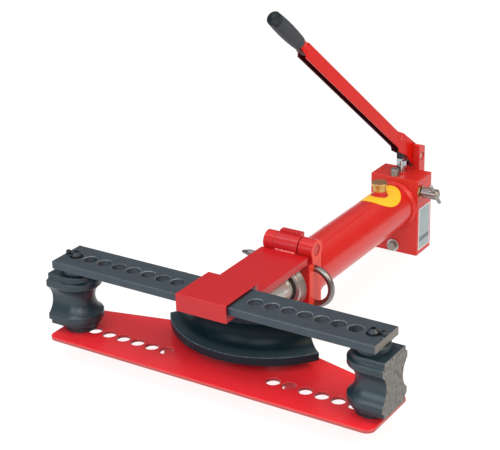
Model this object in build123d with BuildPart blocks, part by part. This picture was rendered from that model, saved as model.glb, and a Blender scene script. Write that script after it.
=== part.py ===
import os
from math import asin, atan2, cos, degrees, radians, sin, sqrt

from build123d import *

os.makedirs("parts", exist_ok=True)

# Hydraulic pipe bender, in millimetres. +X runs along the cross bar, +Y back to the pump, +Z up.
# The floor is Z = 0, and the origin lies under the middle of the tool's footprint.
# Lengths called front, rear or reach are counted back from the row of support holes.

# Rows of support holes in the cross bar and in the lower wing
hole_pitch = 30.0
hole_dia = 24.0
first_bar_hole = 75.0
bar_holes_per_side = 8
wing_holes_per_side = 7

# Cross bar
bar_width = 76.0
bar_thickness = 14.0
bar_end_margin = 23.0
bar_play = 0.3
bar_chamfer = 1.0
hole_chamfer = 0.8

# Lower wing and its feet
wing_thickness = 6.0
wing_front = 59.0
wing_end_rear = 62.0
wing_waist_rear = 124.0
wing_end_margin = 28.0
wing_corner = 15.0
wing_throat_round = 40.0
wing_chamfer = 0.8
foot_height = 35.0
foot_dia = 24.0
foot_flare = 1.0
foot_rim = 4.0
foot_offset = 120.0
foot_rear = 32.0
foot_stud_dia = 8.0
foot_stud_length = 20.0

# Swivelling supports
support_height = 96.0
support_width = 81.0
support_boss_width = 69.0
support_boss_height = 8.5
support_shoulder = 3.0
support_waist_width = 54.0
support_flat = 37.5
support_chamfer = 1.5
lower_collar_height = 11.0
collar_dia = 56.0
collar_chamfer = 1.0
support_pin_dia = 22.5
support_pin_rise = 8.0
support_pin_end_dia = 20.0
support_pin_end_drop = 4.0
support_pin_chamfer = 5.0
pin_centre_dia = 8.0
pin_centre_depth = 5.0
keeper_dia = 9.0
keeper_offset = 17.0
keeper_rise = 7.0
keeper_depth = 8.0
keeper_chamfer = 1.0
keeper_bore = 5.5
keeper_bore_depth = 6.0

# Frame head, hinge and upper arm
head_front = 211.0
head_depth = 42.0
head_wall = 6.0
head_crown = 3.0
head_arm_gap = 2.0
head_round = 3.0
hinge_rise = 22.0
knuckle_dia = 36.0
knuckle_neck = 29.0
centre_knuckle_length = 50.0
left_knuckle_length = 19.5
right_knuckle_length = 28.0
knuckle_gap = 0.8
knuckle_right_gap = 2.0
knuckle_chamfer = 0.8
hinge_pin_dia = 20.0
hinge_pin_inset = 1.0
pin_chamfer = 1.0
arm_width = 95.0
arm_thickness = 12.0
arm_knuckle_gap = 0.8
arm_corner = 3.0
stop_tab_width = 42.0
stop_tab_start = 1.0
stop_tab_depth = 12.0
stop_tab_rise = 4.5
sleeve_width = 96.0
sleeve_top = 4.7
sleeve_front_wall = 6.2
sleeve_rear_wall = 11.7
sleeve_round = 1.5

# Fork pin that holds the cylinder in the frame head
fork_rod_dia = 12.0
fork_groove_wall = 2.2
fork_left_reach = 99.0
fork_bow_start = 48.0
fork_tip_length = 14.0
fork_tip_dia = 5.0
fork_play = 0.3

# Cylinder, ram and former
jacket_dia = 88.0
stop_ring_rise = 3.0
stop_ring_length = 20.0
stop_ring_chamfer = 1.5
jacket_wall = 3.5
oil_gap = 2.5
pressure_tube_wall = 4.0
collar_ring_rise = 6.0
collar_ring_lip = 2.0
collar_ring_length = 10.0
nose_boss_wall = 8.5
nose_boss_chamfer = 1.5
nose_boss_length = 11.0
nose_spigot_length = 8.0
wiper_wall = 4.5
wiper_length = 7.5
wiper_chamfer = 2.0
wiper_inset = 4.0
ram_dia = 50.0
ram_front = 100.0
ram_nose_dia = 40.0
ram_nose_length = 38.0
ram_nose_chamfer = 2.0
piston_front = 490.0
piston_length = 30.0
piston_bore = 24.0
piston_seal_width = 8.0
piston_seal_depth = 5.0
piston_nut_dia = 36.0
piston_nut_length = 14.0
spring_side_gap = 1.5
spring_end_gap = 0.3
spring_turns = 11
pipe_dia = 60.3
pipe_play = 0.15
former_radius = 176.0
former_apex = -6.6
former_height = 90.0
former_half_angle = 57.0
former_wall = 18.0
former_lip_round = 1.5
former_back_height = 56.0
former_web = 24.0
former_web_half_angle = 46.0
former_hub_dia = 74.0

# Pump block
block_front = 626.0
block_width = 102.0
block_depth = 60.0
block_height = 158.0
block_round = 1.5
plunger_rear = 656.2
plunger_dia = 20.0
plunger_bore_depth = 80.0
plunger_depth = 50.0
plunger_rise = 26.0
plunger_head_depth = 20.0
plunger_head_width = 12.0
plunger_head_height = 34.0
plunger_head_round = 4.0
plunger_gland_dia = 23.0
plunger_gland_height = 3.0
plunger_gland_chamfer = 1.0
top_plug_rear = 635.7
top_plug_left = 3.5
top_plug_dia = 17.2
top_plug_height = 14.0
top_plug_chamfer = 1.5
top_plug_shank = 10.0
top_plug_depth = 14.0

# Lever bracket, lever and grip
bracket_depth = 24.0
bracket_plate = 10.0
bracket_ear = 14.0
bracket_front_rise = 28.0
bracket_rear_rise = 19.0
bracket_round = 3.0
bracket_floor_gap = 1.0
bracket_below_top = 60.0
bracket_bolt_dia = 8.0
bracket_bolt_head = 13.0
bracket_bolt_head_height = 5.0
bracket_bolt_room = 1.0
bracket_bolt_depth = 18.0
bracket_bolt_pitch_x = 30.0
bracket_bolt_pitch_z = 28.0
pivot_rise = 24.0
pivot_pin_dia = 16.0
pivot_inset = 3.0
lever_angle = 38.0
lever_width = 18.0
lever_wall = 2.5
lever_round = 1.5
lever_bracket_play = 0.6
lever_length = 527.0
lever_top = 10.6
lever_bottom = 14.8
lever_end_cut = 6.0
lever_eye = 20.0
lever_web_start = 104.0
cheek_rise = 5.5
cheek_end = 80.0
cheek_drop = 5.7
cheek_drop_end = 72.0
cheek_waist = 36.0
tang_dia = 16.0
tang_height = 1.0
tang_length = 94.0
ferrule_length = 26.0
ferrule_dia = 20.0
ferrule_height = 20.0
grip_gap = 0.5
grip_length = 101.0
grip_neck_dia = 24.0
grip_belly_dia = 28.0
grip_end_dia = 25.0
grip_dome = 5.0
crank_pin_dia = 10.0
crank_pin_rise = 48.0
crank_pin_seat = 1.5
crank_slot_play = 1.6
crank_slot_run = 7.0
rivet_dia = 8.0
rivet_head_dia = 13.0
rivet_head_height = 2.5
rivet_reach = 88.0
rivet_height = 3.0

# Filler, release valve, drain bolt and data plate
filler_rear = 564.0
filler_neck_dia = 26.0
filler_neck_rise = 8.0
filler_shank_dia = 18.0
filler_cap_dia = 31.0
filler_cap_rim = 6.0
filler_cap_waist = 25.0
filler_cap_height = 17.0
filler_cap_flare = 2.0
filler_cap_chamfer = 1.0
filler_stem_dia = 14.0
filler_stem_length = 10.0
release_rear = 636.0
release_below_top = 24.0
release_gland_af = 22.0
release_gland_length = 3.6
release_stem_dia = 10.0
release_stem_depth = 30.0
release_knob_dia = 21.0
release_knob_start = 4.2
release_knob_length = 34.3
release_knob_chamfer = 2.0
release_bar_dia = 7.0
release_bar_length = 66.0
release_bar_inset = 6.5
release_bar_tilt = 49.0
drain_height = 14.0
drain_bolt_af = 17.0
drain_head_height = 8.0
drain_shank_dia = 10.0
drain_shank_length = 20.0
drain_washer_dia = 25.0
drain_washer_thickness = 2.5
data_plate_width = 48.0
data_plate_height = 88.0
data_plate_thickness = 0.8
data_plate_bottom = 10.0

# Clearance of a pin in its hole, on the radius
fit = 0.05

# Heights
wing_top = foot_height + wing_thickness
axis_z = wing_top + lower_collar_height + support_height / 2
head_width = jacket_dia + 2 * head_wall
head_top = axis_z + jacket_dia / 2 + head_crown
arm_bottom = head_top + head_arm_gap
bar_bottom = arm_bottom + arm_thickness
bar_top = bar_bottom + bar_thickness
hinge_z = head_top + hinge_rise
pivot_z = block_height + pivot_rise
release_height = block_height - release_below_top

# Places along Y, with the footprint centred on the origin
tool_rear = block_front + block_depth + bracket_depth / 2 + max(bracket_depth / 2, lever_eye)
row_y = wing_front - (wing_front + tool_rear) / 2
head_y = row_y + head_front
hinge_y = head_y + head_depth / 2
head_rear_y = head_y + head_depth
block_y = row_y + block_front
block_rear_y = block_y + block_depth
block_mid_y = block_y + block_depth / 2
pivot_y = block_rear_y + bracket_depth / 2
plunger_y = row_y + plunger_rear

# Places along X
support_x = first_bar_hole + (bar_holes_per_side - 1) * hole_pitch
bar_half = support_x + bar_end_margin
wing_half = support_x + wing_end_margin
bar_hole_places = [first_bar_hole + n * hole_pitch for n in range(bar_holes_per_side)]
wing_hole_places = bar_hole_places[bar_holes_per_side - wing_holes_per_side:]
sides = {"left": -1, "right": 1}
knuckle_ends = {
    "left": centre_knuckle_length / 2 + left_knuckle_length,
    "right": centre_knuckle_length / 2 + right_knuckle_length,
}
hinge_reach = 2 * max(knuckle_ends.values())

ram_axis = Axis((0, 0, axis_z), (0, 1, 0))


# A round piece turned about the ram's axis, from (place along Y, radius) corners
def turned_on_ram(outline):
    with BuildPart() as piece:
        with BuildSketch(Plane.YZ):
            with BuildLine():
                Polyline(*[(y, axis_z + radius) for y, radius in outline], close=True)
            make_face()
        revolve(axis=ram_axis)
    return piece


# A round piece turned about an upright axis, from (radius, height) corners
def turned_upright(x, y, outline):
    with BuildPart() as piece:
        with BuildSketch(Plane((x, y, 0), x_dir=(1, 0, 0), z_dir=(0, -1, 0))):
            with BuildLine():
                Polyline(*outline, close=True)
            make_face()
        revolve(axis=Axis((x, y, 0), (0, 0, 1)))
    return piece


# A round piece turned about an axis along X, from (place along X, radius) corners
def turned_across(y, z, outline):
    with BuildPart() as piece:
        with BuildSketch(Plane((0, y, z), x_dir=(1, 0, 0), z_dir=(0, -1, 0))):
            with BuildLine():
                Polyline(*outline, close=True)
            make_face()
        revolve(axis=Axis((0, y, z), (1, 0, 0)))
    return piece


# Lower wing: a flat plate that widens towards the frame head, with a row of holes on each side
with BuildPart() as lower_wing:
    with BuildSketch(Plane.XY.offset(foot_height)):
        with BuildLine():
            Polyline(
                (0, row_y - wing_front),
                (wing_half, row_y - wing_front),
                (wing_half, row_y + wing_end_rear),
                (head_width / 2, row_y + wing_waist_rear),
                (head_width / 2, head_rear_y),
                (0, head_rear_y),
            )
            mirror(about=Plane.YZ)
        make_face()
        fillet(vertices().group_by(Axis.Y)[0], wing_corner)
        fillet([v for v in vertices() if abs(v.X) > wing_half - 1 and v.Y > row_y], wing_corner / 2)
        fillet([v for v in vertices() if abs(v.Y - row_y - wing_waist_rear) < 1], wing_throat_round)
        for place in wing_hole_places:
            with Locations((-place, row_y), (place, row_y)):
                Circle(hole_dia / 2, mode=Mode.SUBTRACT)
    extrude(amount=wing_thickness)
    chamfer(lower_wing.faces().sort_by(Axis.Z)[-1].edges(), wing_chamfer)
lower_wing.part.label = "lower_wing"
export_step(lower_wing.part, "parts/lower_wing.step")

# Feet under the wing: tapered steel posts, each screwed on a stud that is welded to the wing's underside
foot_y = row_y + foot_rear
for name, side in sides.items():
    foot = turned_upright(
        side * foot_offset,
        foot_y,
        [
            (0, 0),
            (foot_dia / 2 + foot_flare, 0),
            (foot_dia / 2 + foot_flare, foot_rim),
            (foot_dia / 2 - foot_flare, foot_height),
            (foot_stud_dia / 2, foot_height),
            (foot_stud_dia / 2, foot_height - foot_stud_length),
            (0, foot_height - foot_stud_length),
        ],
    )
    foot.part.label = f"{name}_foot"
    export_step(foot.part, f"parts/{name}_foot.step")

with BuildPart() as foot_studs:
    with Locations((-foot_offset, foot_y, foot_height), (foot_offset, foot_y, foot_height)):
        Cylinder(foot_stud_dia / 2, foot_stud_length, align=(Align.CENTER, Align.CENTER, Align.MAX))
foot_studs.part.label = "foot_studs"
export_step(foot_studs.part, "parts/foot_studs.step")

# Frame head: a thick block bored for the cylinder's nose, with the two outer hinge knuckles on top
fork_y = hinge_y
fork_spread = ram_dia + 2 * fork_groove_wall + fork_rod_dia + 2 * fork_play
fork_holes = [axis_z - fork_spread / 2, axis_z + fork_spread / 2]
with BuildPart() as frame_head:
    with BuildSketch(Plane.XY.offset(wing_top)):
        with Locations((0, head_y + head_depth / 2)):
            RectangleRounded(head_width, head_depth, head_round)
    extrude(amount=head_top - wing_top)
    for name, side in sides.items():
        with BuildSketch(Plane.YZ.offset(side * (centre_knuckle_length / 2 + knuckle_gap / 2))):
            with Locations((hinge_y, hinge_z)):
                Circle(knuckle_dia / 2)
            with Locations((hinge_y, head_top)):
                Rectangle(knuckle_neck, hinge_rise, align=(Align.CENTER, Align.MIN))
        extrude(amount=side * (knuckle_ends[name] - centre_knuckle_length / 2 - knuckle_gap / 2))
    with BuildSketch(Plane.YZ):
        with Locations((hinge_y, hinge_z)):
            Circle(hinge_pin_dia / 2 + fit)
    extrude(amount=hinge_reach, both=True, mode=Mode.SUBTRACT)
    with BuildSketch(Plane.YZ):
        with Locations(*[(fork_y, z) for z in fork_holes]):
            Circle(fork_rod_dia / 2 + fork_play)
    extrude(amount=head_width, both=True, mode=Mode.SUBTRACT)
    with BuildSketch(Plane.XZ.offset(-head_y)):
        with Locations((0, axis_z)):
            Circle(jacket_dia / 2 + fit)
    extrude(amount=-head_depth, mode=Mode.SUBTRACT)
frame_head.part.label = "frame_head"
export_step(frame_head.part, "parts/frame_head.step")

# Hinge pin, set a little inside the knuckles at both ends
pin_left = hinge_pin_inset - knuckle_ends["left"]
pin_right = knuckle_ends["right"] - hinge_pin_inset
hinge_pin = turned_across(
    hinge_y,
    hinge_z,
    [
        (pin_left, 0),
        (pin_left, hinge_pin_dia / 2 - pin_chamfer),
        (pin_left + pin_chamfer, hinge_pin_dia / 2),
        (pin_right - pin_chamfer, hinge_pin_dia / 2),
        (pin_right, hinge_pin_dia / 2 - pin_chamfer),
        (pin_right, 0),
    ],
)
hinge_pin.part.label = "hinge_pin"
export_step(hinge_pin.part, "parts/hinge_pin.step")

# Upper arm: the plate under the cross bar, with the centre knuckle and a stop tab at its rear
arm_rear_y = hinge_y - sqrt((knuckle_dia / 2 + arm_knuckle_gap) ** 2 - (hinge_z - bar_bottom) ** 2)
sleeve_y = row_y - bar_width / 2 - bar_play
centre_knuckle_left = (knuckle_gap - centre_knuckle_length) / 2
centre_knuckle_span = centre_knuckle_length - knuckle_gap - knuckle_right_gap
with BuildPart() as upper_arm:
    with BuildSketch(Plane.XY.offset(arm_bottom)):
        with Locations((0, sleeve_y)):
            Rectangle(arm_width, arm_rear_y - sleeve_y, align=(Align.CENTER, Align.MIN))
        fillet(vertices().group_by(Axis.Y)[-1], arm_corner)
        with Locations((centre_knuckle_left, hinge_y)):
            Rectangle(
                centre_knuckle_span,
                hinge_y - arm_rear_y + arm_corner,
                align=(Align.MIN, Align.MAX),
            )
    extrude(amount=arm_thickness)
    with BuildSketch(Plane.YZ.offset(centre_knuckle_left)):
        with Locations((hinge_y, hinge_z)):
            Circle(knuckle_dia / 2)
    extrude(amount=centre_knuckle_span)
    with BuildSketch(Plane.YZ):
        with Locations((hinge_y + stop_tab_start, hinge_z)):
            Rectangle(stop_tab_depth, knuckle_dia / 2 + stop_tab_rise, align=Align.MIN)
    extrude(amount=stop_tab_width / 2, both=True)
    with BuildSketch(Plane.YZ):
        with Locations((hinge_y, hinge_z)):
            Circle(hinge_pin_dia / 2 + fit)
    extrude(amount=hinge_reach, both=True, mode=Mode.SUBTRACT)
upper_arm.part.label = "upper_arm"
export_step(upper_arm.part, "parts/upper_arm.step")

# Sleeve welded on the arm, which traps the cross bar from the front, the top and the rear
sleeve_z = bar_top + bar_play + sleeve_top
sleeve_rear_y = row_y + bar_width / 2 + bar_play
with BuildPart() as bar_sleeve:
    with BuildSketch(Plane.YZ):
        with BuildLine():
            Polyline(
                (sleeve_y - sleeve_front_wall, arm_bottom),
                (sleeve_y - sleeve_front_wall, sleeve_z),
                (sleeve_rear_y + sleeve_rear_wall, sleeve_z),
                (sleeve_rear_y + sleeve_rear_wall, bar_bottom),
                (sleeve_rear_y, bar_bottom),
                (sleeve_rear_y, bar_top + bar_play),
                (sleeve_y, bar_top + bar_play),
                (sleeve_y, arm_bottom),
                close=True,
            )
        make_face()
    extrude(amount=sleeve_width / 2, both=True)
    fillet(bar_sleeve.faces().sort_by(Axis.Z)[-1].edges(), sleeve_round)
bar_sleeve.part.label = "bar_sleeve"
export_step(bar_sleeve.part, "parts/bar_sleeve.step")

# Cross bar with its two rows of holes, and a blind hole outside each end hole for the keeper stud
keeper_places = [(side * (support_x + keeper_offset), row_y) for side in sides.values()]
with BuildPart() as cross_bar:
    with Locations((0, row_y, bar_bottom)):
        Box(2 * bar_half, bar_width, bar_thickness, align=(Align.CENTER, Align.CENTER, Align.MIN))
    chamfer(cross_bar.edges().filter_by(Axis.X), bar_chamfer)
    for place in bar_hole_places:
        with Locations((-place, row_y, bar_top), (place, row_y, bar_top)):
            Hole(hole_dia / 2, depth=bar_thickness)
    chamfer(cross_bar.edges().filter_by(GeomType.CIRCLE), hole_chamfer)
    with Locations(*[(x, y, bar_top) for x, y in keeper_places]):
        Hole(keeper_dia / 2 + fit, depth=keeper_depth)
cross_bar.part.label = "cross_bar"
export_step(cross_bar.part, "parts/cross_bar.step")

with BuildPart() as keeper_studs:
    with Locations(*[(x, y, bar_top - keeper_depth) for x, y in keeper_places]):
        Cylinder(
            keeper_dia / 2,
            keeper_depth + keeper_rise,
            align=(Align.CENTER, Align.CENTER, Align.MIN),
        )
    chamfer(keeper_studs.faces().filter_by(Axis.Z).group_by(Axis.Z)[-1].edges(), keeper_chamfer)
    with Locations(*[(x, y, bar_top + keeper_rise) for x, y in keeper_places]):
        Hole(keeper_bore / 2, depth=keeper_bore_depth)
keeper_studs.part.label = "keeper_studs"
export_step(keeper_studs.part, "parts/keeper_studs.step")

# Supports: grooved spools, half round towards the former and flat outside, on a pin with two collars
support_bottom = wing_top + lower_collar_height
support_top = support_bottom + support_height
groove_radius = pipe_dia / 2 + pipe_play
pin_radius = support_pin_dia / 2
rim = support_width / 2
boss = support_boss_width / 2
waist = support_waist_width / 2
groove_half_chord = sqrt(groove_radius**2 - (groove_radius - rim + waist) ** 2)
for name, side in sides.items():
    x = side * support_x
    with BuildPart() as support:
        with BuildSketch(Plane((x, row_y, 0), x_dir=(0, 1, 0), z_dir=(1, 0, 0))) as spool:
            with BuildLine():
                low_edge = Polyline(
                    (0, support_bottom),
                    (boss - support_chamfer, support_bottom),
                    (boss, support_bottom + support_chamfer),
                    (boss, support_bottom + support_boss_height),
                    (rim, support_bottom + support_boss_height + support_shoulder),
                    (rim, axis_z - groove_half_chord - support_chamfer),
                    (rim - support_chamfer / 2, axis_z - groove_half_chord),
                )
                groove = ThreePointArc(
                    low_edge @ 1,
                    (waist, axis_z),
                    (rim - support_chamfer / 2, axis_z + groove_half_chord),
                )
                Polyline(
                    groove @ 1,
                    (rim, axis_z + groove_half_chord + support_chamfer),
                    (rim, support_top - support_boss_height - support_shoulder),
                    (boss, support_top - support_boss_height),
                    (boss, support_top - support_chamfer),
                    (boss - support_chamfer, support_top),
                    (0, support_top),
                    low_edge @ 0,
                )
            make_face()
        revolve(axis=Axis((x, row_y, 0), (0, 0, side)), revolution_arc=180)
        with BuildSketch(Plane((x, row_y, 0), x_dir=(0, 1, 0), z_dir=(1, 0, 0))):
            add(spool.sketch_local)
            mirror(spool.sketch_local, about=Plane.YZ)
        extrude(amount=side * support_flat)
        with Locations((x, row_y, support_top)):
            Hole(pin_radius + fit, depth=support_height)
    support.part.label = f"{name}_support"
    export_step(support.part, f"parts/{name}_support.step")

    support_pin = turned_upright(
        x,
        row_y,
        [
            (0, foot_height),
            (pin_radius - pin_chamfer, foot_height),
            (pin_radius, foot_height + pin_chamfer),
            (pin_radius, bar_top - support_pin_end_drop),
            (support_pin_end_dia / 2, bar_top - support_pin_end_drop),
            (support_pin_end_dia / 2, bar_top + support_pin_rise - support_pin_chamfer),
            (support_pin_end_dia / 2 - support_pin_chamfer, bar_top + support_pin_rise),
            (pin_centre_dia / 2, bar_top + support_pin_rise),
            (pin_centre_dia / 2, bar_top + support_pin_rise - pin_centre_depth),
            (0, bar_top + support_pin_rise - pin_centre_depth - pin_centre_dia / 4),
        ],
    )
    support_pin.part.label = f"{name}_support_pin"
    export_step(support_pin.part, f"parts/{name}_support_pin.step")

    collar_spans = {"lower": (wing_top, support_bottom), "upper": (support_top, bar_bottom)}
    for place, (low, high) in collar_spans.items():
        collar = turned_upright(
            x,
            row_y,
            [
                (pin_radius + fit, low),
                (collar_dia / 2 - collar_chamfer, low),
                (collar_dia / 2, low + collar_chamfer),
                (collar_dia / 2, high - collar_chamfer),
                (collar_dia / 2 - collar_chamfer, high),
                (pin_radius + fit, high),
            ],
        )
        collar.part.label = f"{name}_{place}_collar"
        export_step(collar.part, f"parts/{name}_{place}_collar.step")

# Fork pin: a rod bent to a U, whose legs cross the frame head above and below the ram
with BuildPart() as fork_pin:
    with BuildLine(Plane.XZ.offset(-fork_y)) as fork_path:
        upper_leg = Line((-fork_left_reach + fork_tip_length, fork_holes[1]), (fork_bow_start, fork_holes[1]))
        bow = TangentArc(upper_leg @ 1, (fork_bow_start, fork_holes[0]), tangent=upper_leg % 1)
        Line(bow @ 1, (-fork_left_reach + fork_tip_length, fork_holes[0]))
    with BuildSketch(Plane(fork_path.line @ 0, z_dir=fork_path.line % 0)):
        Circle(fork_rod_dia / 2)
    sweep(path=fork_path.line)
    for z in fork_holes:
        with Locations(Location((-fork_left_reach + fork_tip_length, fork_y, z), (0, -90, 0))):
            Cone(
                fork_rod_dia / 2,
                fork_tip_dia / 2,
                fork_tip_length,
                align=(Align.CENTER, Align.CENTER, Align.MIN),
            )
fork_pin.part.label = "fork_pin"
export_step(fork_pin.part, "parts/fork_pin.step")

# Cylinder nose: guides the ram, sits in the frame head and is grooved for the fork pin's legs
ram_radius = ram_dia / 2
wiper_dia = ram_dia + 2 * wiper_wall
nose_boss_dia = wiper_dia + 2 * nose_boss_wall
jacket_bore = jacket_dia / 2 - jacket_wall
groove_floor = fork_spread / 2 - fork_rod_dia / 2 - fork_play
groove_half = fork_rod_dia / 2 + fork_play
nose_front_y = head_y - nose_boss_length
wiper_seat_y = nose_front_y + wiper_inset
nose_rear_y = head_rear_y + nose_spigot_length
cylinder_nose = turned_on_ram([
    (wiper_seat_y, ram_radius + fit),
    (wiper_seat_y, wiper_dia / 2 + fit),
    (nose_front_y, wiper_dia / 2 + fit),
    (nose_front_y, nose_boss_dia / 2 - nose_boss_chamfer),
    (nose_front_y + nose_boss_chamfer, nose_boss_dia / 2),
    (head_y, nose_boss_dia / 2),
    (head_y, jacket_dia / 2),
    (fork_y - groove_half, jacket_dia / 2),
    (fork_y - groove_half, groove_floor),
    (fork_y + groove_half, groove_floor),
    (fork_y + groove_half, jacket_dia / 2),
    (head_rear_y, jacket_dia / 2),
    (head_rear_y, jacket_bore),
    (nose_rear_y, jacket_bore),
    (nose_rear_y, ram_radius + fit),
])
cylinder_nose.part.label = "cylinder_nose"
export_step(cylinder_nose.part, "parts/cylinder_nose.step")

ram_wiper = turned_on_ram([
    (wiper_seat_y - wiper_length, ram_radius + fit),
    (wiper_seat_y - wiper_length, wiper_dia / 2 - wiper_chamfer),
    (wiper_seat_y - wiper_length + wiper_chamfer, wiper_dia / 2),
    (wiper_seat_y, wiper_dia / 2),
    (wiper_seat_y, ram_radius + fit),
])
ram_wiper.part.label = "ram_wiper"
export_step(ram_wiper.part, "parts/ram_wiper.step")

# Oil jacket, bored on top for the filler, and the pressure tube inside it
filler_y = row_y + filler_rear
jacket_top = axis_z + jacket_dia / 2
with BuildPart() as cylinder_jacket:
    with BuildSketch(Plane.XZ.offset(-head_rear_y)):
        with Locations((0, axis_z)):
            Circle(jacket_dia / 2)
            Circle(jacket_bore, mode=Mode.SUBTRACT)
    extrude(amount=head_rear_y - block_y)
    with BuildSketch(Plane.XZ.offset(-head_rear_y)):
        with Locations((0, axis_z)):
            Circle(jacket_dia / 2 + stop_ring_rise)
            Circle(jacket_bore, mode=Mode.SUBTRACT)
    extrude(amount=-stop_ring_length)
    ring_edges = edges().filter_by(GeomType.CIRCLE).group_by(SortBy.RADIUS)[-1]
    chamfer(ring_edges.sort_by(Axis.Y)[-1], stop_ring_chamfer)
    with Locations((0, filler_y, jacket_top)):
        Hole(filler_shank_dia / 2 + fit, depth=jacket_dia / 2)
cylinder_jacket.part.label = "cylinder_jacket"
export_step(cylinder_jacket.part, "parts/cylinder_jacket.step")

pressure_tube_dia = 2 * (jacket_bore - oil_gap)
pressure_bore = pressure_tube_dia / 2 - pressure_tube_wall
pressure_tube = turned_on_ram([
    (nose_rear_y, pressure_bore),
    (nose_rear_y, pressure_tube_dia / 2),
    (block_y, pressure_tube_dia / 2),
    (block_y, pressure_bore),
])
pressure_tube.part.label = "pressure_tube"
export_step(pressure_tube.part, "parts/pressure_tube.step")

# Collar ring where the jacket is welded to the pump block
collar_ring = turned_on_ram([
    (block_y - collar_ring_length, jacket_dia / 2 + fit),
    (block_y - collar_ring_length, jacket_dia / 2 + collar_ring_lip),
    (block_y - collar_ring_length / 3, jacket_dia / 2 + collar_ring_rise),
    (block_y, jacket_dia / 2 + collar_ring_rise),
    (block_y, jacket_dia / 2 + fit),
])
collar_ring.part.label = "collar_ring"
export_step(collar_ring.part, "parts/collar_ring.step")

# Ram with its nose in the former, and a tail that carries the piston and its nut
ram_y = row_y + ram_front
piston_y = row_y + piston_front
piston_rear_y = piston_y + piston_length
nut_rear_y = piston_rear_y + piston_nut_length
ram = turned_on_ram([
    (ram_y - ram_nose_length, 0),
    (ram_y - ram_nose_length, ram_nose_dia / 2 - ram_nose_chamfer),
    (ram_y - ram_nose_length + ram_nose_chamfer, ram_nose_dia / 2),
    (ram_y, ram_nose_dia / 2),
    (ram_y, ram_radius),
    (piston_y, ram_radius),
    (piston_y, piston_bore / 2),
    (nut_rear_y, piston_bore / 2),
    (nut_rear_y, 0),
])
ram.part.label = "ram"
export_step(ram.part, "parts/ram.step")

seal_y = piston_y + (piston_length - piston_seal_width) / 2
piston_radius = pressure_bore - fit
seal_floor = piston_radius - piston_seal_depth
piston = turned_on_ram([
    (piston_y, piston_bore / 2 + fit),
    (piston_y, piston_radius),
    (seal_y, piston_radius),
    (seal_y, seal_floor),
    (seal_y + piston_seal_width, seal_floor),
    (seal_y + piston_seal_width, piston_radius),
    (piston_rear_y, piston_radius),
    (piston_rear_y, piston_bore / 2 + fit),
])
piston.part.label = "piston"
export_step(piston.part, "parts/piston.step")

piston_seal = turned_on_ram([
    (seal_y, seal_floor),
    (seal_y, piston_radius),
    (seal_y + piston_seal_width, piston_radius),
    (seal_y + piston_seal_width, seal_floor),
])
piston_seal.part.label = "piston_seal"
export_step(piston_seal.part, "parts/piston_seal.step")

with BuildPart() as piston_nut:
    with BuildSketch(Plane.XZ.offset(-piston_rear_y)):
        with Locations((0, axis_z)):
            RegularPolygon(piston_nut_dia / 2, 6)
            Circle(piston_bore / 2 + fit, mode=Mode.SUBTRACT)
    extrude(amount=-piston_nut_length)
piston_nut.part.label = "piston_nut"
export_step(piston_nut.part, "parts/piston_nut.step")

# Return spring round the ram, from the cylinder nose to the piston
spring_wire = pressure_bore - ram_radius - 2 * spring_side_gap
spring_mean = (ram_radius + pressure_bore) / 2
spring_length = piston_y - nose_rear_y - spring_wire - 2 * spring_end_gap
spring_start = (0, nose_rear_y + spring_end_gap + spring_wire / 2, axis_z)
with BuildPart() as return_spring:
    with BuildLine() as spring_path:
        Helix(
            pitch=spring_length / spring_turns,
            height=spring_length,
            radius=spring_mean,
            center=spring_start,
            direction=(0, 1, 0),
        )
    with BuildSketch(Plane(spring_path.line @ 0, z_dir=spring_path.line % 0)):
        Circle(spring_wire / 2)
    sweep(path=spring_path.line, is_frenet=True)
return_spring.part.label = "return_spring"
export_step(return_spring.part, "parts/return_spring.step")

# Bending former: a grooved segment, with a web and a socketed hub behind it
former_centre_y = row_y + former_apex + former_radius
former_axis = Axis((0, former_centre_y, 0), (0, 0, 1))
former_inner = former_radius - groove_radius - former_wall
hub_length = ram_y - (former_centre_y - former_inner) + former_wall / 2
with BuildPart() as bending_former:
    end_sin = sin(radians(former_half_angle))
    end_cos = cos(radians(former_half_angle))
    end_plane = Plane(
        (0, former_centre_y, axis_z),
        x_dir=(-end_sin, -end_cos, 0),
        z_dir=(-end_cos, end_sin, 0),
    )
    with BuildSketch(end_plane):
        with BuildLine():
            Polyline(
                (former_radius, -former_height / 2),
                (former_radius, former_height / 2),
                (former_radius - groove_radius, former_height / 2),
                (former_inner, former_back_height / 2),
                (former_inner, -former_back_height / 2),
                (former_radius - groove_radius, -former_height / 2),
                close=True,
            )
        make_face()
        with Locations((former_radius, 0)):
            Circle(groove_radius, mode=Mode.SUBTRACT)
        fillet([v for v in vertices() if v.X > former_radius - former_lip_round / 2], former_lip_round)
    revolve(axis=former_axis, revolution_arc=2 * former_half_angle)
    web_x = (former_inner + former_wall / 2) * sin(radians(former_web_half_angle))
    web_y = former_centre_y - (former_inner + former_wall / 2) * cos(radians(former_web_half_angle))
    front_y = former_centre_y - former_inner - former_wall / 2
    with BuildSketch(Plane.XY.offset(axis_z - former_web / 2)):
        with BuildLine():
            web_front = ThreePointArc((-web_x, web_y), (0, front_y), (web_x, web_y))
            Polyline(web_front @ 1, (former_hub_dia / 2, ram_y), (-former_hub_dia / 2, ram_y), web_front @ 0)
        make_face()
    extrude(amount=former_web)
    with BuildSketch(Plane.XZ.offset(-ram_y)):
        with Locations((0, axis_z)):
            Circle(former_hub_dia / 2)
    extrude(amount=hub_length)
    with BuildSketch(Plane.XZ.offset(-ram_y)):
        with Locations((0, axis_z)):
            Circle(ram_nose_dia / 2 + fit)
    extrude(amount=ram_nose_length, mode=Mode.SUBTRACT)
bending_former.part.label = "bending_former"
export_step(bending_former.part, "parts/bending_former.step")

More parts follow.
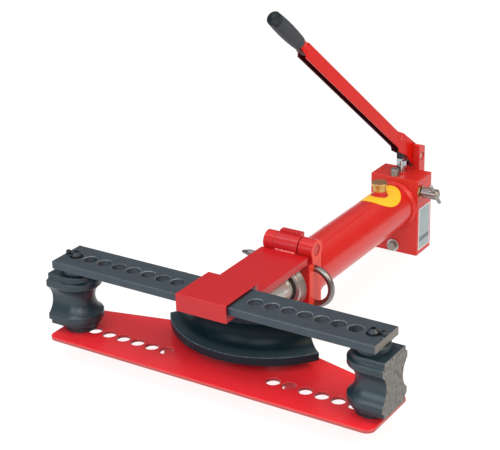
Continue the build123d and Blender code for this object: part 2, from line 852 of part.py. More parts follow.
# Pump block, bored for the plunger, plug, release valve, drain bolt and bracket bolts
release_y = row_y + release_rear
top_plug_y = row_y + top_plug_rear
bolt_z = block_height - bracket_below_top / 2
bolt_places = [
    (across * bracket_bolt_pitch_x / 2, bolt_z + up * bracket_bolt_pitch_z / 2)
    for across in (-1, 1)
    for up in (-1, 1)
]
with BuildPart() as pump_block:
    with Locations((0, block_mid_y, 0)):
        Box(block_width, block_depth, block_height, align=(Align.CENTER, Align.CENTER, Align.MIN))
    fillet(pump_block.edges(), block_round)
    with Locations((0, plunger_y, block_height)):
        Hole(plunger_dia / 2 + fit, depth=plunger_bore_depth)
    with Locations((-top_plug_left, top_plug_y, block_height)):
        Hole(top_plug_shank / 2 + fit, depth=top_plug_depth)
    with BuildSketch(Plane.YZ.offset(block_width / 2)):
        with Locations((release_y, release_height)):
            Circle(release_stem_dia / 2 + fit)
    extrude(amount=-release_stem_depth, mode=Mode.SUBTRACT)
    with BuildSketch(Plane.XZ.offset(-block_y)):
        with Locations((0, drain_height)):
            Circle(drain_shank_dia / 2 + fit)
    extrude(amount=-drain_shank_length, mode=Mode.SUBTRACT)
    with BuildSketch(Plane.XZ.offset(-block_rear_y)):
        with Locations(*bolt_places):
            Circle(bracket_bolt_dia / 2 + fit)
    extrude(amount=bracket_bolt_depth, mode=Mode.SUBTRACT)
pump_block.part.label = "pump_block"
export_step(pump_block.part, "parts/pump_block.step")

# Plunger gland ring on the block, and the steel plug in front of it
plunger_gland = turned_upright(0, plunger_y, [
    (plunger_dia / 2 + fit, block_height),
    (plunger_gland_dia / 2, block_height),
    (plunger_gland_dia / 2, block_height + plunger_gland_height - plunger_gland_chamfer),
    (plunger_gland_dia / 2 - plunger_gland_chamfer, block_height + plunger_gland_height),
    (plunger_dia / 2 + fit, block_height + plunger_gland_height),
])
plunger_gland.part.label = "plunger_gland"
export_step(plunger_gland.part, "parts/plunger_gland.step")

top_plug = turned_upright(-top_plug_left, top_plug_y, [
    (0, block_height - top_plug_depth),
    (top_plug_shank / 2, block_height - top_plug_depth),
    (top_plug_shank / 2, block_height),
    (top_plug_dia / 2, block_height),
    (top_plug_dia / 2, block_height + top_plug_height - top_plug_chamfer),
    (top_plug_dia / 2 - top_plug_chamfer, block_height + top_plug_height),
    (0, block_height + top_plug_height),
])
top_plug.part.label = "top_plug"
export_step(top_plug.part, "parts/top_plug.step")

# Plunger with a flattened head, and the crank pin across it that runs in slots of the lever's cheeks
head_bottom = block_height + plunger_rise
crank_z = block_height + crank_pin_rise
with BuildPart() as plunger:
    with Locations((0, plunger_y, block_height - plunger_depth)):
        Cylinder(
            plunger_dia / 2,
            plunger_depth + plunger_rise,
            align=(Align.CENTER, Align.CENTER, Align.MIN),
        )
    with Locations((0, plunger_y, head_bottom)):
        Box(
            plunger_head_width,
            plunger_head_depth,
            plunger_head_height,
            align=(Align.CENTER, Align.CENTER, Align.MIN),
        )
    fillet(plunger.faces().sort_by(Axis.Z)[-1].edges().filter_by(Axis.X), plunger_head_round)
    with BuildSketch(Plane.YZ):
        with Locations((plunger_y, crank_z)):
            Circle(crank_pin_dia / 2 + fit)
    extrude(amount=plunger_head_width, both=True, mode=Mode.SUBTRACT)
plunger.part.label = "plunger"
export_step(plunger.part, "parts/plunger.step")

inner_width = lever_width / 2 - lever_wall
crank_end = inner_width + crank_pin_seat - fit
crank_pin = turned_across(plunger_y, crank_z, [
    (-crank_end, 0),
    (-crank_end, crank_pin_dia / 2),
    (crank_end, crank_pin_dia / 2),
    (crank_end, 0),
])
crank_pin.part.label = "crank_pin"
export_step(crank_pin.part, "parts/crank_pin.step")

# Lever bracket: a slotted block bolted to the back of the pump block
ear_inner = lever_width / 2 + lever_bracket_play
ear_outer = ear_inner + bracket_ear
bracket_rear_y = block_rear_y + bracket_depth
bracket_bottom = block_height - bracket_below_top
slot_floor = pivot_z - lever_eye - bracket_floor_gap
with BuildPart() as lever_bracket:
    with BuildSketch(Plane.YZ):
        with BuildLine():
            Polyline(
                (block_rear_y, bracket_bottom),
                (block_rear_y, pivot_z + bracket_front_rise),
                (bracket_rear_y, pivot_z + bracket_rear_rise),
                (bracket_rear_y, bracket_bottom),
                close=True,
            )
        make_face()
        fillet([v for v in vertices() if v.Y > pivot_z], bracket_round)
    extrude(amount=ear_outer, both=True)
    with Locations((0, block_rear_y, slot_floor)):
        Box(
            2 * ear_inner,
            3 * bracket_depth,
            pivot_z,
            align=(Align.CENTER, Align.CENTER, Align.MIN),
            mode=Mode.SUBTRACT,
        )
    with BuildSketch(Plane.YZ):
        with Locations((pivot_y, pivot_z)):
            Circle(pivot_pin_dia / 2 + fit)
    extrude(amount=2 * ear_outer, both=True, mode=Mode.SUBTRACT)
    with BuildSketch(Plane.XZ.offset(-block_rear_y)):
        with Locations(*bolt_places):
            Circle(bracket_bolt_dia / 2 + fit)
    extrude(amount=-bracket_depth, mode=Mode.SUBTRACT)
    with BuildSketch(Plane.XZ.offset(-block_rear_y - bracket_plate)):
        with Locations(*bolt_places):
            Circle(bracket_bolt_head / 2 + bracket_bolt_room)
    extrude(amount=-bracket_depth, mode=Mode.SUBTRACT)
lever_bracket.part.label = "lever_bracket"
export_step(lever_bracket.part, "parts/lever_bracket.step")

with BuildPart() as bracket_bolts:
    with BuildSketch(Plane.XZ.offset(-block_rear_y + bracket_bolt_depth)):
        with Locations(*bolt_places):
            Circle(bracket_bolt_dia / 2)
    extrude(amount=-bracket_bolt_depth - bracket_plate)
    with BuildSketch(Plane.XZ.offset(-block_rear_y - bracket_plate)):
        with Locations(*bolt_places):
            Circle(bracket_bolt_head / 2)
    extrude(amount=-bracket_bolt_head_height)
bracket_bolts.part.label = "bracket_bolts"
export_step(bracket_bolts.part, "parts/bracket_bolts.step")

pivot_end = ear_outer - pivot_inset
lever_pivot = turned_across(pivot_y, pivot_z, [
    (-pivot_end, 0),
    (-pivot_end, pivot_pin_dia / 2 - pin_chamfer),
    (pin_chamfer - pivot_end, pivot_pin_dia / 2),
    (pivot_end - pin_chamfer, pivot_pin_dia / 2),
    (pivot_end, pivot_pin_dia / 2 - pin_chamfer),
    (pivot_end, 0),
])
lever_pivot.part.label = "lever_pivot"
export_step(lever_pivot.part, "parts/lever_pivot.step")

# Pump lever: a folded channel, open below, with deeper cheeks at the pivot and a tang for the grip
lean = radians(lever_angle)
along = Vector(0, -cos(lean), sin(lean))
lever_plane = Plane((0, pivot_y, pivot_z), x_dir=along, z_dir=(-1, 0, 0))
web_bottom = lever_top - lever_wall
ferrule_start = lever_length - lever_end_cut
crank_local = lever_plane.to_local_coords(Vector(0, plunger_y, crank_z))
crank_turn = degrees(atan2(crank_local.Y, crank_local.X))
with BuildPart() as pump_lever:
    with BuildSketch(lever_plane):
        with BuildLine():
            heel = CenterArc((0, 0), lever_eye, 90, 180)
            Polyline(
                heel @ 0,
                (cheek_end, lever_top + cheek_rise),
                (lever_web_start, lever_top),
                (lever_length, lever_top),
                (lever_length, -lever_wall),
                (ferrule_start, -lever_bottom),
                (cheek_end, -lever_bottom),
                (cheek_drop_end, -lever_bottom - cheek_drop),
                (cheek_waist, -lever_bottom),
                heel @ 1,
            )
        make_face()
    extrude(amount=lever_width / 2, both=True)
    fillet(
        pump_lever.edges().filter_by(lambda e: abs((e % 0.5).dot(along)) > 0.999)
        .filter_by(lambda e: abs(lever_plane.to_local_coords(e @ 0.5).Y - lever_top) < fit),
        lever_round,
    )
    with BuildSketch(lever_plane):
        with Locations((-2 * lever_eye, web_bottom)):
            Rectangle(2 * lever_length, 4 * lever_eye, align=(Align.MIN, Align.MAX))
        with Locations((-2 * lever_eye, 0)):
            Rectangle(2 * lever_eye + lever_web_start, 4 * lever_eye, align=(Align.MIN, Align.MIN))
    extrude(amount=inner_width, both=True, mode=Mode.SUBTRACT)
    with BuildSketch(lever_plane):
        Circle(pivot_pin_dia / 2 + fit)
        with Locations((rivet_reach, rivet_height)):
            Circle(rivet_dia / 2 + fit)
    extrude(amount=lever_width, both=True, mode=Mode.SUBTRACT)
    with BuildSketch(lever_plane):
        with Locations((crank_local.X, crank_local.Y)):
            SlotOverall(
                crank_pin_dia + 2 * crank_slot_run,
                crank_pin_dia + 2 * crank_slot_play,
                rotation=crank_turn,
            )
    extrude(amount=inner_width + crank_pin_seat, both=True, mode=Mode.SUBTRACT)
    ferrule_plane = Plane(lever_plane.origin + along * ferrule_start, x_dir=(1, 0, 0), z_dir=along)
    ferrule_rise = 1 if ferrule_plane.y_dir.Z > 0 else -1
    with BuildSketch(ferrule_plane):
        with Locations((0, ferrule_rise * (lever_top - ferrule_height / 2 - lever_round))):
            Rectangle(lever_width - lever_wall, ferrule_height)
    with BuildSketch(ferrule_plane.offset(ferrule_length)):
        with Locations((0, ferrule_rise * tang_height)):
            Circle(ferrule_dia / 2)
    loft()
    with BuildSketch(ferrule_plane):
        with Locations((0, ferrule_rise * tang_height)):
            Circle(tang_dia / 2)
    extrude(amount=ferrule_length + tang_length)
pump_lever.part.label = "pump_lever"
export_step(pump_lever.part, "parts/pump_lever.step")

# Rivet that closes the channel over the cheeks
rivet_place = lever_plane.from_local_coords(Vector(rivet_reach, rivet_height, 0))
rivet_end = lever_width / 2
cheek_rivet = turned_across(rivet_place.Y, rivet_place.Z, [
    (-rivet_end - rivet_head_height, 0),
    (-rivet_end - rivet_head_height, rivet_head_dia / 4),
    (-rivet_end, rivet_head_dia / 2),
    (-rivet_end, rivet_dia / 2),
    (rivet_end, rivet_dia / 2),
    (rivet_end, rivet_head_dia / 2),
    (rivet_end + rivet_head_height, rivet_head_dia / 4),
    (rivet_end + rivet_head_height, 0),
])
cheek_rivet.part.label = "cheek_rivet"
export_step(cheek_rivet.part, "parts/cheek_rivet.step")

# Grip: a swollen rubber sleeve with a domed end, pushed over the tang
grip_start = ferrule_start + ferrule_length + grip_gap
grip_end = grip_start + grip_length
tang_end = ferrule_start + ferrule_length + tang_length
tang_line = Axis(lever_plane.from_local_coords(Vector(0, tang_height, 0)), along)
dome_radius = ((grip_end_dia / 2) ** 2 + grip_dome**2) / (2 * grip_dome)
dome_half = asin(grip_end_dia / 2 / dome_radius) / 2
with BuildPart() as lever_grip:
    with BuildSketch(lever_plane):
        with BuildLine():
            Polyline(
                (tang_end, tang_height),
                (tang_end, tang_height + tang_dia / 2 + fit),
                (grip_start, tang_height + tang_dia / 2 + fit),
                (grip_start, tang_height + grip_neck_dia / 2),
            )
            swell = ThreePointArc(
                (grip_start, tang_height + grip_neck_dia / 2),
                (grip_start + grip_length * 0.45, tang_height + grip_belly_dia / 2),
                (grip_end - grip_dome, tang_height + grip_end_dia / 2),
            )
            dome = ThreePointArc(
                swell @ 1,
                (grip_end - dome_radius * (1 - cos(dome_half)), tang_height + dome_radius * sin(dome_half)),
                (grip_end, tang_height),
            )
            Line(dome @ 1, (tang_end, tang_height))
        make_face()
    revolve(axis=tang_line)
lever_grip.part.label = "lever_grip"
export_step(lever_grip.part, "parts/lever_grip.step")

# Filler neck on the jacket, and its screwed cap
neck_seat = axis_z + sqrt((jacket_dia / 2) ** 2 - (filler_neck_dia / 2) ** 2)
neck_top = jacket_top + filler_neck_rise
with BuildPart() as filler_neck:
    with BuildSketch(Plane.XY.offset(neck_seat)):
        with Locations((0, filler_y)):
            Circle(filler_neck_dia / 2)
    extrude(amount=neck_top - neck_seat)
    with BuildSketch(Plane.XZ.offset(-filler_y)):
        with Locations((0, axis_z)):
            Circle(jacket_dia / 2)
    extrude(amount=filler_neck_dia, both=True, mode=Mode.SUBTRACT)
    with BuildSketch(Plane.XY.offset(neck_seat - jacket_wall)):
        with Locations((0, filler_y)):
            Circle(filler_shank_dia / 2)
    extrude(amount=filler_neck_rise + jacket_wall)
    with BuildSketch(Plane.XY.offset(neck_top)):
        with Locations((0, filler_y)):
            Circle(filler_stem_dia / 2 + fit)
    extrude(amount=-jacket_dia / 2, mode=Mode.SUBTRACT)
filler_neck.part.label = "filler_neck"
export_step(filler_neck.part, "parts/filler_neck.step")

cap_top = neck_top + filler_cap_height
filler_cap = turned_upright(0, filler_y, [
    (0, neck_top - filler_stem_length),
    (filler_stem_dia / 2, neck_top - filler_stem_length),
    (filler_stem_dia / 2, neck_top),
    (filler_cap_waist / 2, neck_top),
    (filler_cap_waist / 2, cap_top - filler_cap_rim - filler_cap_flare),
    (filler_cap_dia / 2, cap_top - filler_cap_rim),
    (filler_cap_dia / 2, cap_top - filler_cap_chamfer),
    (filler_cap_dia / 2 - filler_cap_chamfer, cap_top),
    (0, cap_top),
])
filler_cap.part.label = "filler_cap"
export_step(filler_cap.part, "parts/filler_cap.step")

# Release valve on the block's right side: a hexagon gland, a knobbed spindle and its tommy bar
side_x = block_width / 2
gland_x = side_x + release_gland_length
knob_x = side_x + release_knob_start
knob_end = knob_x + release_knob_length
bar_x = knob_end - release_bar_inset
with BuildPart() as release_gland:
    with BuildSketch(Plane.YZ.offset(side_x)):
        with Locations((release_y, release_height)):
            RegularPolygon(release_gland_af / 2, 6, major_radius=False)
            Circle(release_stem_dia / 2 + fit, mode=Mode.SUBTRACT)
    extrude(amount=release_gland_length)
release_gland.part.label = "release_gland"
export_step(release_gland.part, "parts/release_gland.step")

bar_direction = (0, cos(radians(release_bar_tilt)), -sin(radians(release_bar_tilt)))
bar_plane = Plane((bar_x, release_y, release_height), x_dir=(1, 0, 0), z_dir=bar_direction)
with BuildPart() as release_spindle:
    with BuildSketch(Plane((0, release_y, release_height), x_dir=(1, 0, 0), z_dir=(0, -1, 0))):
        with BuildLine():
            Polyline(
                (side_x - release_stem_depth, 0),
                (side_x - release_stem_depth, release_stem_dia / 2),
                (knob_x, release_stem_dia / 2),
                (knob_x, release_knob_dia / 2 - release_knob_chamfer),
                (knob_x + release_knob_chamfer, release_knob_dia / 2),
                (knob_end - release_knob_chamfer, release_knob_dia / 2),
                (knob_end, release_knob_dia / 2 - release_knob_chamfer),
                (knob_end, 0),
                close=True,
            )
        make_face()
    revolve(axis=Axis((0, release_y, release_height), (1, 0, 0)))
    with BuildSketch(bar_plane):
        Circle(release_bar_dia / 2 + fit)
    extrude(amount=release_knob_dia, both=True, mode=Mode.SUBTRACT)
release_spindle.part.label = "release_spindle"
export_step(release_spindle.part, "parts/release_spindle.step")

with BuildPart() as tommy_bar:
    with BuildSketch(bar_plane):
        Circle(release_bar_dia / 2)
    extrude(amount=release_bar_length / 2, both=True)
    fillet(tommy_bar.edges().filter_by(GeomType.CIRCLE), release_bar_dia / 4)
tommy_bar.part.label = "tommy_bar"
export_step(tommy_bar.part, "parts/tommy_bar.step")

# Drain bolt and washer low on the block's front
with BuildPart() as drain_washer:
    with BuildSketch(Plane.XZ.offset(-block_y)):
        with Locations((0, drain_height)):
            Circle(drain_washer_dia / 2)
            Circle(drain_shank_dia / 2 + fit, mode=Mode.SUBTRACT)
    extrude(amount=drain_washer_thickness)
drain_washer.part.label = "drain_washer"
export_step(drain_washer.part, "parts/drain_washer.step")

with BuildPart() as drain_bolt:
    with BuildSketch(Plane.XZ.offset(-block_y + drain_washer_thickness)):
        with Locations((0, drain_height)):
            RegularPolygon(drain_bolt_af / 2, 6, major_radius=False)
    extrude(amount=drain_head_height)
    with BuildSketch(Plane.XZ.offset(-block_y + drain_washer_thickness)):
        with Locations((0, drain_height)):
            Circle(drain_shank_dia / 2)
    extrude(amount=-drain_shank_length - drain_washer_thickness)
drain_bolt.part.label = "drain_bolt"
export_step(drain_bolt.part, "parts/drain_bolt.step")

# Bare data plate on the block's right side
with BuildPart() as data_plate:
    with BuildSketch(Plane.YZ.offset(side_x)):
        with Locations((block_mid_y, data_plate_bottom)):
            Rectangle(data_plate_width, data_plate_height, align=(Align.CENTER, Align.MIN))
    extrude(amount=data_plate_thickness)
data_plate.part.label = "data_plate"
export_step(data_plate.part, "parts/data_plate.step")
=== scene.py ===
import math

import bmesh
import bpy
from mathutils import Matrix, Vector


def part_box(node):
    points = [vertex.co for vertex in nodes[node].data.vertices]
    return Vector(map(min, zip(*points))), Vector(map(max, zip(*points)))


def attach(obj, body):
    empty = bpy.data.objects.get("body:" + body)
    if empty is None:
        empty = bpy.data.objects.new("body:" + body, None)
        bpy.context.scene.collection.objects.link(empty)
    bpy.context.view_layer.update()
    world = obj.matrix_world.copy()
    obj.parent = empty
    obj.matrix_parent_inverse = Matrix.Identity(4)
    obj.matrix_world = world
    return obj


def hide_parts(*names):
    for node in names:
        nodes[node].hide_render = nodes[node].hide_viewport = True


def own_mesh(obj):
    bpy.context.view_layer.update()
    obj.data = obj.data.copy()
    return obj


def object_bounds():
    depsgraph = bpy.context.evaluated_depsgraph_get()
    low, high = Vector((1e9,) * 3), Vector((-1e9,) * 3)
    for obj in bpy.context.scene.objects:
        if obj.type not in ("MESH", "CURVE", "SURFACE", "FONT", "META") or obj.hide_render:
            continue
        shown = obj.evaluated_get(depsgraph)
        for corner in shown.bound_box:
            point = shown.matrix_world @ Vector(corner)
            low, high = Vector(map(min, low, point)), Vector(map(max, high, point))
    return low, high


# Hydraulic pipe bender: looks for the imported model, in metres, +X along the cross bar, +Y back to the pump
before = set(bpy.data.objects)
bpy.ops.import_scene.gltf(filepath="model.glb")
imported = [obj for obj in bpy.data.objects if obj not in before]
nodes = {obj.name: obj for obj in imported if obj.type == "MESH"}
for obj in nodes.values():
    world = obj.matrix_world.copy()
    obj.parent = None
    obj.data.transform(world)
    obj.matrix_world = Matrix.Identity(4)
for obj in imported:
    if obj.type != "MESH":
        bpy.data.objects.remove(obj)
cadLow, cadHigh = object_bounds()
mm = 0.001
print("frame loaded:", len(nodes), "nodes")

# Camera at the photograph's angle
view = {
    "place": Vector((1.180767, -2.044074, 1.184257)),
    "back": Vector((0.500006, -0.770825, 0.394744)),  # from the object towards the lens
    "roll": math.radians(-1.51),
    "lens": 103.68,
    "sensor": 36.0,
    "clipEnd": 250.0,
}


def addCamera():
    data = bpy.data.cameras.new("photoCamera")
    data.lens = view["lens"]
    data.sensor_width = view["sensor"]
    data.clip_end = view["clipEnd"]
    camera = bpy.data.objects.new("photoCamera", data)
    bpy.context.scene.collection.objects.link(camera)
    back = view["back"].normalized()
    level = Vector((0, 0, 1)).cross(back).normalized()
    upright = back.cross(level)
    turn, lift = math.cos(view["roll"]), math.sin(view["roll"])
    right = turn * level + lift * upright
    up = turn * upright - lift * level
    camera.matrix_world = Matrix.Translation(view["place"]) @ Matrix((right, up, back)).transposed().to_4x4()
    bpy.context.scene.camera = camera


addCamera()

# Studio: a white table lit a little from below, dim walls and a soft ceiling; a softbox beside the lens,
# a warm one high at the right, a cool panel low at the left front and a pale one high at the left
studio = {
    "floorSize": 160.0,
    "floorDrop": 0.2 * mm,
    "floorGlow": 0.86,
    "floorRoughness": 0.95,
    "floorGrain": 400 * mm,
    "floorTones": ("#727272", "#787878"),
    "worldColor": "#FFFFFF",
    "wallStrength": 0.20,
    "ceilingStrength": 1.05,
    "ceilingFrom": 0.40,  # sine of the elevation where the walls start to brighten, and where they end
    "ceilingTo": 0.85,
    "target": Vector((0, 0, 0.12)),
    # name: (place, side in metres, power in watts, colour)
    "lights": {
        "frontSoftbox": (Vector((0.8, -2.2, 1.3)), 1.3, 24.0, "#FFFFFF"),
        "sideSoftbox": (Vector((2.3, -0.3, 2.0)), 1.7, 48.0, "#FFDDBC"),
        "lowPanel": (Vector((-0.6, -2.2, 0.9)), 1.0, 14.0, "#E6F2FF"),
        "leftPanel": (Vector((-0.8, -1.0, 2.7)), 1.1, 18.0, "#F2F7FF"),
    },
}


def hexLinear(code):
    channels = [int(code[n:n + 2], 16) / 255 for n in (1, 3, 5)]
    linear = [c / 12.92 if c <= 0.04045 else ((c + 0.055) / 1.055) ** 2.4 for c in channels]
    return (*linear, 1.0)


# Adds one node; an input is a socket to link from, the hex code of a colour, or a plain value.
# On a colour mix, input 0 is the share, 6 and 7 are the two colours, and output 2 is the result.
def addNode(tree, kind, inputs=None, **settings):
    node = tree.nodes.new(kind)
    for name, value in settings.items():
        setattr(node, name, value)
    for name, value in (inputs or {}).items():
        if isinstance(value, bpy.types.NodeSocket):
            tree.links.new(value, node.inputs[name])
        else:
            node.inputs[name].default_value = hexLinear(value) if isinstance(value, str) else value
    return node


# Starts a material with some of its shader's own values, and gives the place that its patterns follow
def startMaterial(name, inputs):
    material = bpy.data.materials.new(name)
    material.use_nodes = True
    tree = material.node_tree
    for socket, value in inputs.items():
        tree.nodes["Principled BSDF"].inputs[socket].default_value = value
    coordinates = addNode(tree, "ShaderNodeTexCoord")
    return material, tree, coordinates.outputs["Object"]


# Links what a material's nodes give to its shader
def endMaterial(material, looks):
    tree = material.node_tree
    for socket, look in looks.items():
        tree.links.new(look, tree.nodes["Principled BSDF"].inputs[socket])
    return material


resinIor = 1.5  # paint, rubber and vinyl alike

# Rounds the shading of sharp edges, and tells how near a point is to such an edge, by how far the rounded
# normal leans from the face's own
edgeFinder = {"samples": 4, "flatLean": 0.985, "edgeLean": 0.80}


def softenEdges(tree, radius):
    rounded = addNode(tree, "ShaderNodeBevel", {"Radius": radius}, samples=edgeFinder["samples"]).outputs[0]
    surface = addNode(tree, "ShaderNodeNewGeometry")
    lean = addNode(
        tree, "ShaderNodeVectorMath", {0: rounded, 1: surface.outputs["True Normal"]}, operation="DOT_PRODUCT"
    )
    nearEdge = addNode(
        tree,
        "ShaderNodeMapRange",
        {"Value": lean.outputs["Value"], "From Min": edgeFinder["flatLean"], "From Max": edgeFinder["edgeLean"]},
    )
    return rounded, nearEdge.outputs[0]


# A coat that drifts between two tones, in patches of a given size; gives the drift as well
def driftTones(tree, place, size, detail, tones):
    noise = addNode(tree, "ShaderNodeTexNoise", {"Vector": place, "Scale": 1 / size, "Detail": detail})
    drift = noise.outputs[0]
    tone = addNode(tree, "ShaderNodeMix", {0: drift, 6: tones[0], 7: tones[1]}, data_type="RGBA")
    return drift, tone.outputs[2]


# Lays coats over a tone in turn, each where its mask says
def layCoats(tree, tone, coats):
    for mask, coat in coats:
        tone = addNode(tree, "ShaderNodeMix", {0: mask, 6: tone, 7: coat}, data_type="RGBA").outputs[2]
    return tone


# White acrylic sheet: matt, even, and glowing a little, so that shadows on it stay pale
def makeFloorAcrylic():
    material, tree, place = startMaterial(
        "backlitAcrylic",
        {
            "Roughness": studio["floorRoughness"],
            "Emission Color": hexLinear(studio["worldColor"]),
            "Emission Strength": studio["floorGlow"],
        },
    )
    tone = driftTones(tree, place, studio["floorGrain"], 2.0, studio["floorTones"])[1]
    return endMaterial(material, {"Base Color": tone})


def addStudio():
    scene = bpy.context.scene
    scene.view_settings.view_transform = "Standard"
    world = bpy.data.worlds.new("studioWorld")
    world.use_nodes = True
    tree = world.node_tree
    background = tree.nodes["Background"]
    background.inputs["Color"].default_value = hexLinear(studio["worldColor"])
    direction = addNode(tree, "ShaderNodeTexCoord").outputs["Generated"]
    upward = addNode(tree, "ShaderNodeSeparateXYZ", {"Vector": direction}).outputs["Z"]
    glow = addNode(
        tree,
        "ShaderNodeMapRange",
        {
            "Value": upward,
            "From Min": studio["ceilingFrom"],
            "From Max": studio["ceilingTo"],
            "To Min": studio["wallStrength"],
            "To Max": studio["ceilingStrength"],
        },
        interpolation_type="SMOOTHSTEP",
    )
    tree.links.new(glow.outputs[0], background.inputs["Strength"])
    scene.world = world
    for name, (place, side, power, color) in studio["lights"].items():
        data = bpy.data.lights.new(name, "AREA")
        data.size = side
        data.energy = power
        data.color = hexLinear(color)[:3]
        light = bpy.data.objects.new(name, data)
        scene.collection.objects.link(light)
        aim = (studio["target"] - place).to_track_quat("-Z", "Y")
        light.matrix_world = Matrix.Translation(place) @ aim.to_matrix().to_4x4()
    half = studio["floorSize"] / 2
    low = cadLow.z - studio["floorDrop"]
    mesh = bpy.data.meshes.new("studioFloor")
    corners = [(-half, -half, low), (half, -half, low), (half, half, low), (-half, half, low)]
    mesh.from_pydata(corners, [], [(0, 1, 2, 3)])
    floor = bpy.data.objects.new("studioFloor", mesh)
    scene.collection.objects.link(floor)
    mesh.materials.append(makeFloorAcrylic())


addStudio()
print("camera and studio ready")

# Red stove enamel on steel: soft gloss with a faint orange peel, a slow drift of tone, and lighter edges,
# partly thin paint and partly a painted highlight. Where its dark mask says, inside a channel or close round
# the bar at the sleeve's ends, it is painted dark: painted shade. A plate's cut edge is painted paler, a
# painted highlight, and its holes darker, painted shade (plateSides); side faces towards ±X are painted
# lighter and more orange, as painted light (the cheek tone).
enamel = {
    "edgeRadius": 0.9 * mm,
    "edgeTone": "#E8685E",
    "edgeShare": 0.45,
    "driftSize": 70 * mm,
    "peelSize": 2.2 * mm,
    "peelRelief": (0.08, 0.1 * mm),  # strength and depth, as in the other finishes
    "roughness": (0.2, 0.3),
    "paintedShadeTones": ("#30080E", "#4C0E16"),
    "sideLean": 0.5,  # a plate's side is where its normal has less height than this
    "cheekLean": 0.9,  # a cheek is where its normal lies along the pin by more than this
}


def makeRedEnamel(
    name, gloss=0.38, tones=("#AD171D", "#B91A20"), paintedShadeMask=None, plateSides=None, cheekLitTone=None
):
    material, tree, place = startMaterial(name, {"IOR": resinIor, "Specular IOR Level": gloss})
    rounded, nearEdge = softenEdges(tree, enamel["edgeRadius"])
    drift, tone = driftTones(tree, place, enamel["driftSize"], 3.0, tones)
    normal = addNode(tree, "ShaderNodeNewGeometry").outputs["True Normal"]
    coats = []
    # The plate's cut edge is painted paler, a painted highlight, and its hole walls darker, painted shade
    if plateSides:
        axes = addNode(tree, "ShaderNodeSeparateXYZ", {"Vector": place})
        facing = addNode(tree, "ShaderNodeSeparateXYZ", {"Vector": normal})
        onSide = addNode(
            tree,
            "ShaderNodeMath",
            {0: facing.outputs["Z"], 1: 0.0, 2: enamel["sideLean"]},
            operation="COMPARE",
        )
        inRow = addNode(
            tree,
            "ShaderNodeMath",
            {0: axes.outputs["Y"], 1: plateSides["row"], 2: plateSides["holeReach"]},
            operation="COMPARE",
        )
        inSpan = addNode(
            tree, "ShaderNodeMath", {0: axes.outputs["X"], 1: 0.0, 2: plateSides["span"]}, operation="COMPARE"
        )
        inHole = addNode(
            tree, "ShaderNodeMath", {0: inRow.outputs[0], 1: inSpan.outputs[0]}, operation="MULTIPLY"
        )
        sideTone = addNode(
            tree,
            "ShaderNodeMix",
            {0: inHole.outputs[0], 6: plateSides["edge"], 7: plateSides["hole"]},
            data_type="RGBA",
        )
        coats.append((onSide.outputs[0], sideTone.outputs[2]))
    # Side faces towards ±X painted lighter and more orange: painted light
    if cheekLitTone:
        facing = addNode(tree, "ShaderNodeSeparateXYZ", {"Vector": normal})
        sideways = addNode(tree, "ShaderNodeMath", {0: facing.outputs["X"]}, operation="ABSOLUTE")
        onCheek = addNode(
            tree, "ShaderNodeMath", {0: sideways.outputs[0], 1: enamel["cheekLean"]}, operation="GREATER_THAN"
        )
        coats.append((onCheek.outputs[0], cheekLitTone))
    # Edges lighter: partly thin paint, partly a painted highlight
    thinPaintAndHighlight = addNode(tree, "ShaderNodeMath", {0: nearEdge, 1: enamel["edgeShare"]}, operation="MULTIPLY")
    coats.append((thinPaintAndHighlight.outputs[0], enamel["edgeTone"]))
    # Painted shade: dark where the mask says
    if paintedShadeMask:
        dark, light = enamel["paintedShadeTones"]
        paintedShade = addNode(tree, "ShaderNodeMix", {0: drift, 6: dark, 7: light}, data_type="RGBA")
        coats.append((paintedShadeMask(tree, place, normal), paintedShade.outputs[2]))
    tone = layCoats(tree, tone, coats)
    peel = addNode(
        tree, "ShaderNodeTexNoise", {"Vector": place, "Scale": 1 / enamel["peelSize"], "Detail": 1.0}
    )
    strength, depth = enamel["peelRelief"]
    bump = addNode(
        tree,
        "ShaderNodeBump",
        {"Height": peel.outputs[0], "Strength": strength, "Distance": depth, "Normal": rounded},
    )
    least, most = enamel["roughness"]
    sheen = addNode(tree, "ShaderNodeMapRange", {"Value": drift, "To Min": least, "To Max": most})
    return endMaterial(
        material, {"Base Color": tone, "Roughness": sheen.outputs[0], "Normal": bump.outputs[0]}
    )


# Inside of the lever's folded channel, painted dark as painted shade: between its flanges, but not the
# outside of its web
leverChannel = {"half": 6.6 * mm, "farFlange": -8.8 * mm, "webLean": 0.5}


def leverInside(tree, place, normal):
    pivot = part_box("lever_pivot")
    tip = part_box("lever_grip")
    along = (tip[0] + tip[1]) / 2 - (pivot[0] + pivot[1]) / 2
    webOut = Vector((0, along.z, -along.y)).normalized()
    axes = addNode(tree, "ShaderNodeSeparateXYZ", {"Vector": place})
    middle = (leverChannel["half"] + leverChannel["farFlange"]) / 2
    half = (leverChannel["half"] - leverChannel["farFlange"]) / 2
    between = addNode(
        tree, "ShaderNodeMath", {0: axes.outputs["X"], 1: middle, 2: half}, operation="COMPARE"
    )
    outward = addNode(tree, "ShaderNodeVectorMath", {0: normal, 1: webOut}, operation="DOT_PRODUCT")
    notWeb = addNode(
        tree,
        "ShaderNodeMath",
        {0: outward.outputs["Value"], 1: leverChannel["webLean"]},
        operation="LESS_THAN",
    )
    return addNode(
        tree, "ShaderNodeMath", {0: between.outputs[0], 1: notWeb.outputs[0]}, operation="MULTIPLY"
    ).outputs[0]


# End faces of the bar's sleeve, painted dark close round the bar: painted shade
sleeveLip = {"skin": 0.4 * mm, "reach": 4.6 * mm}


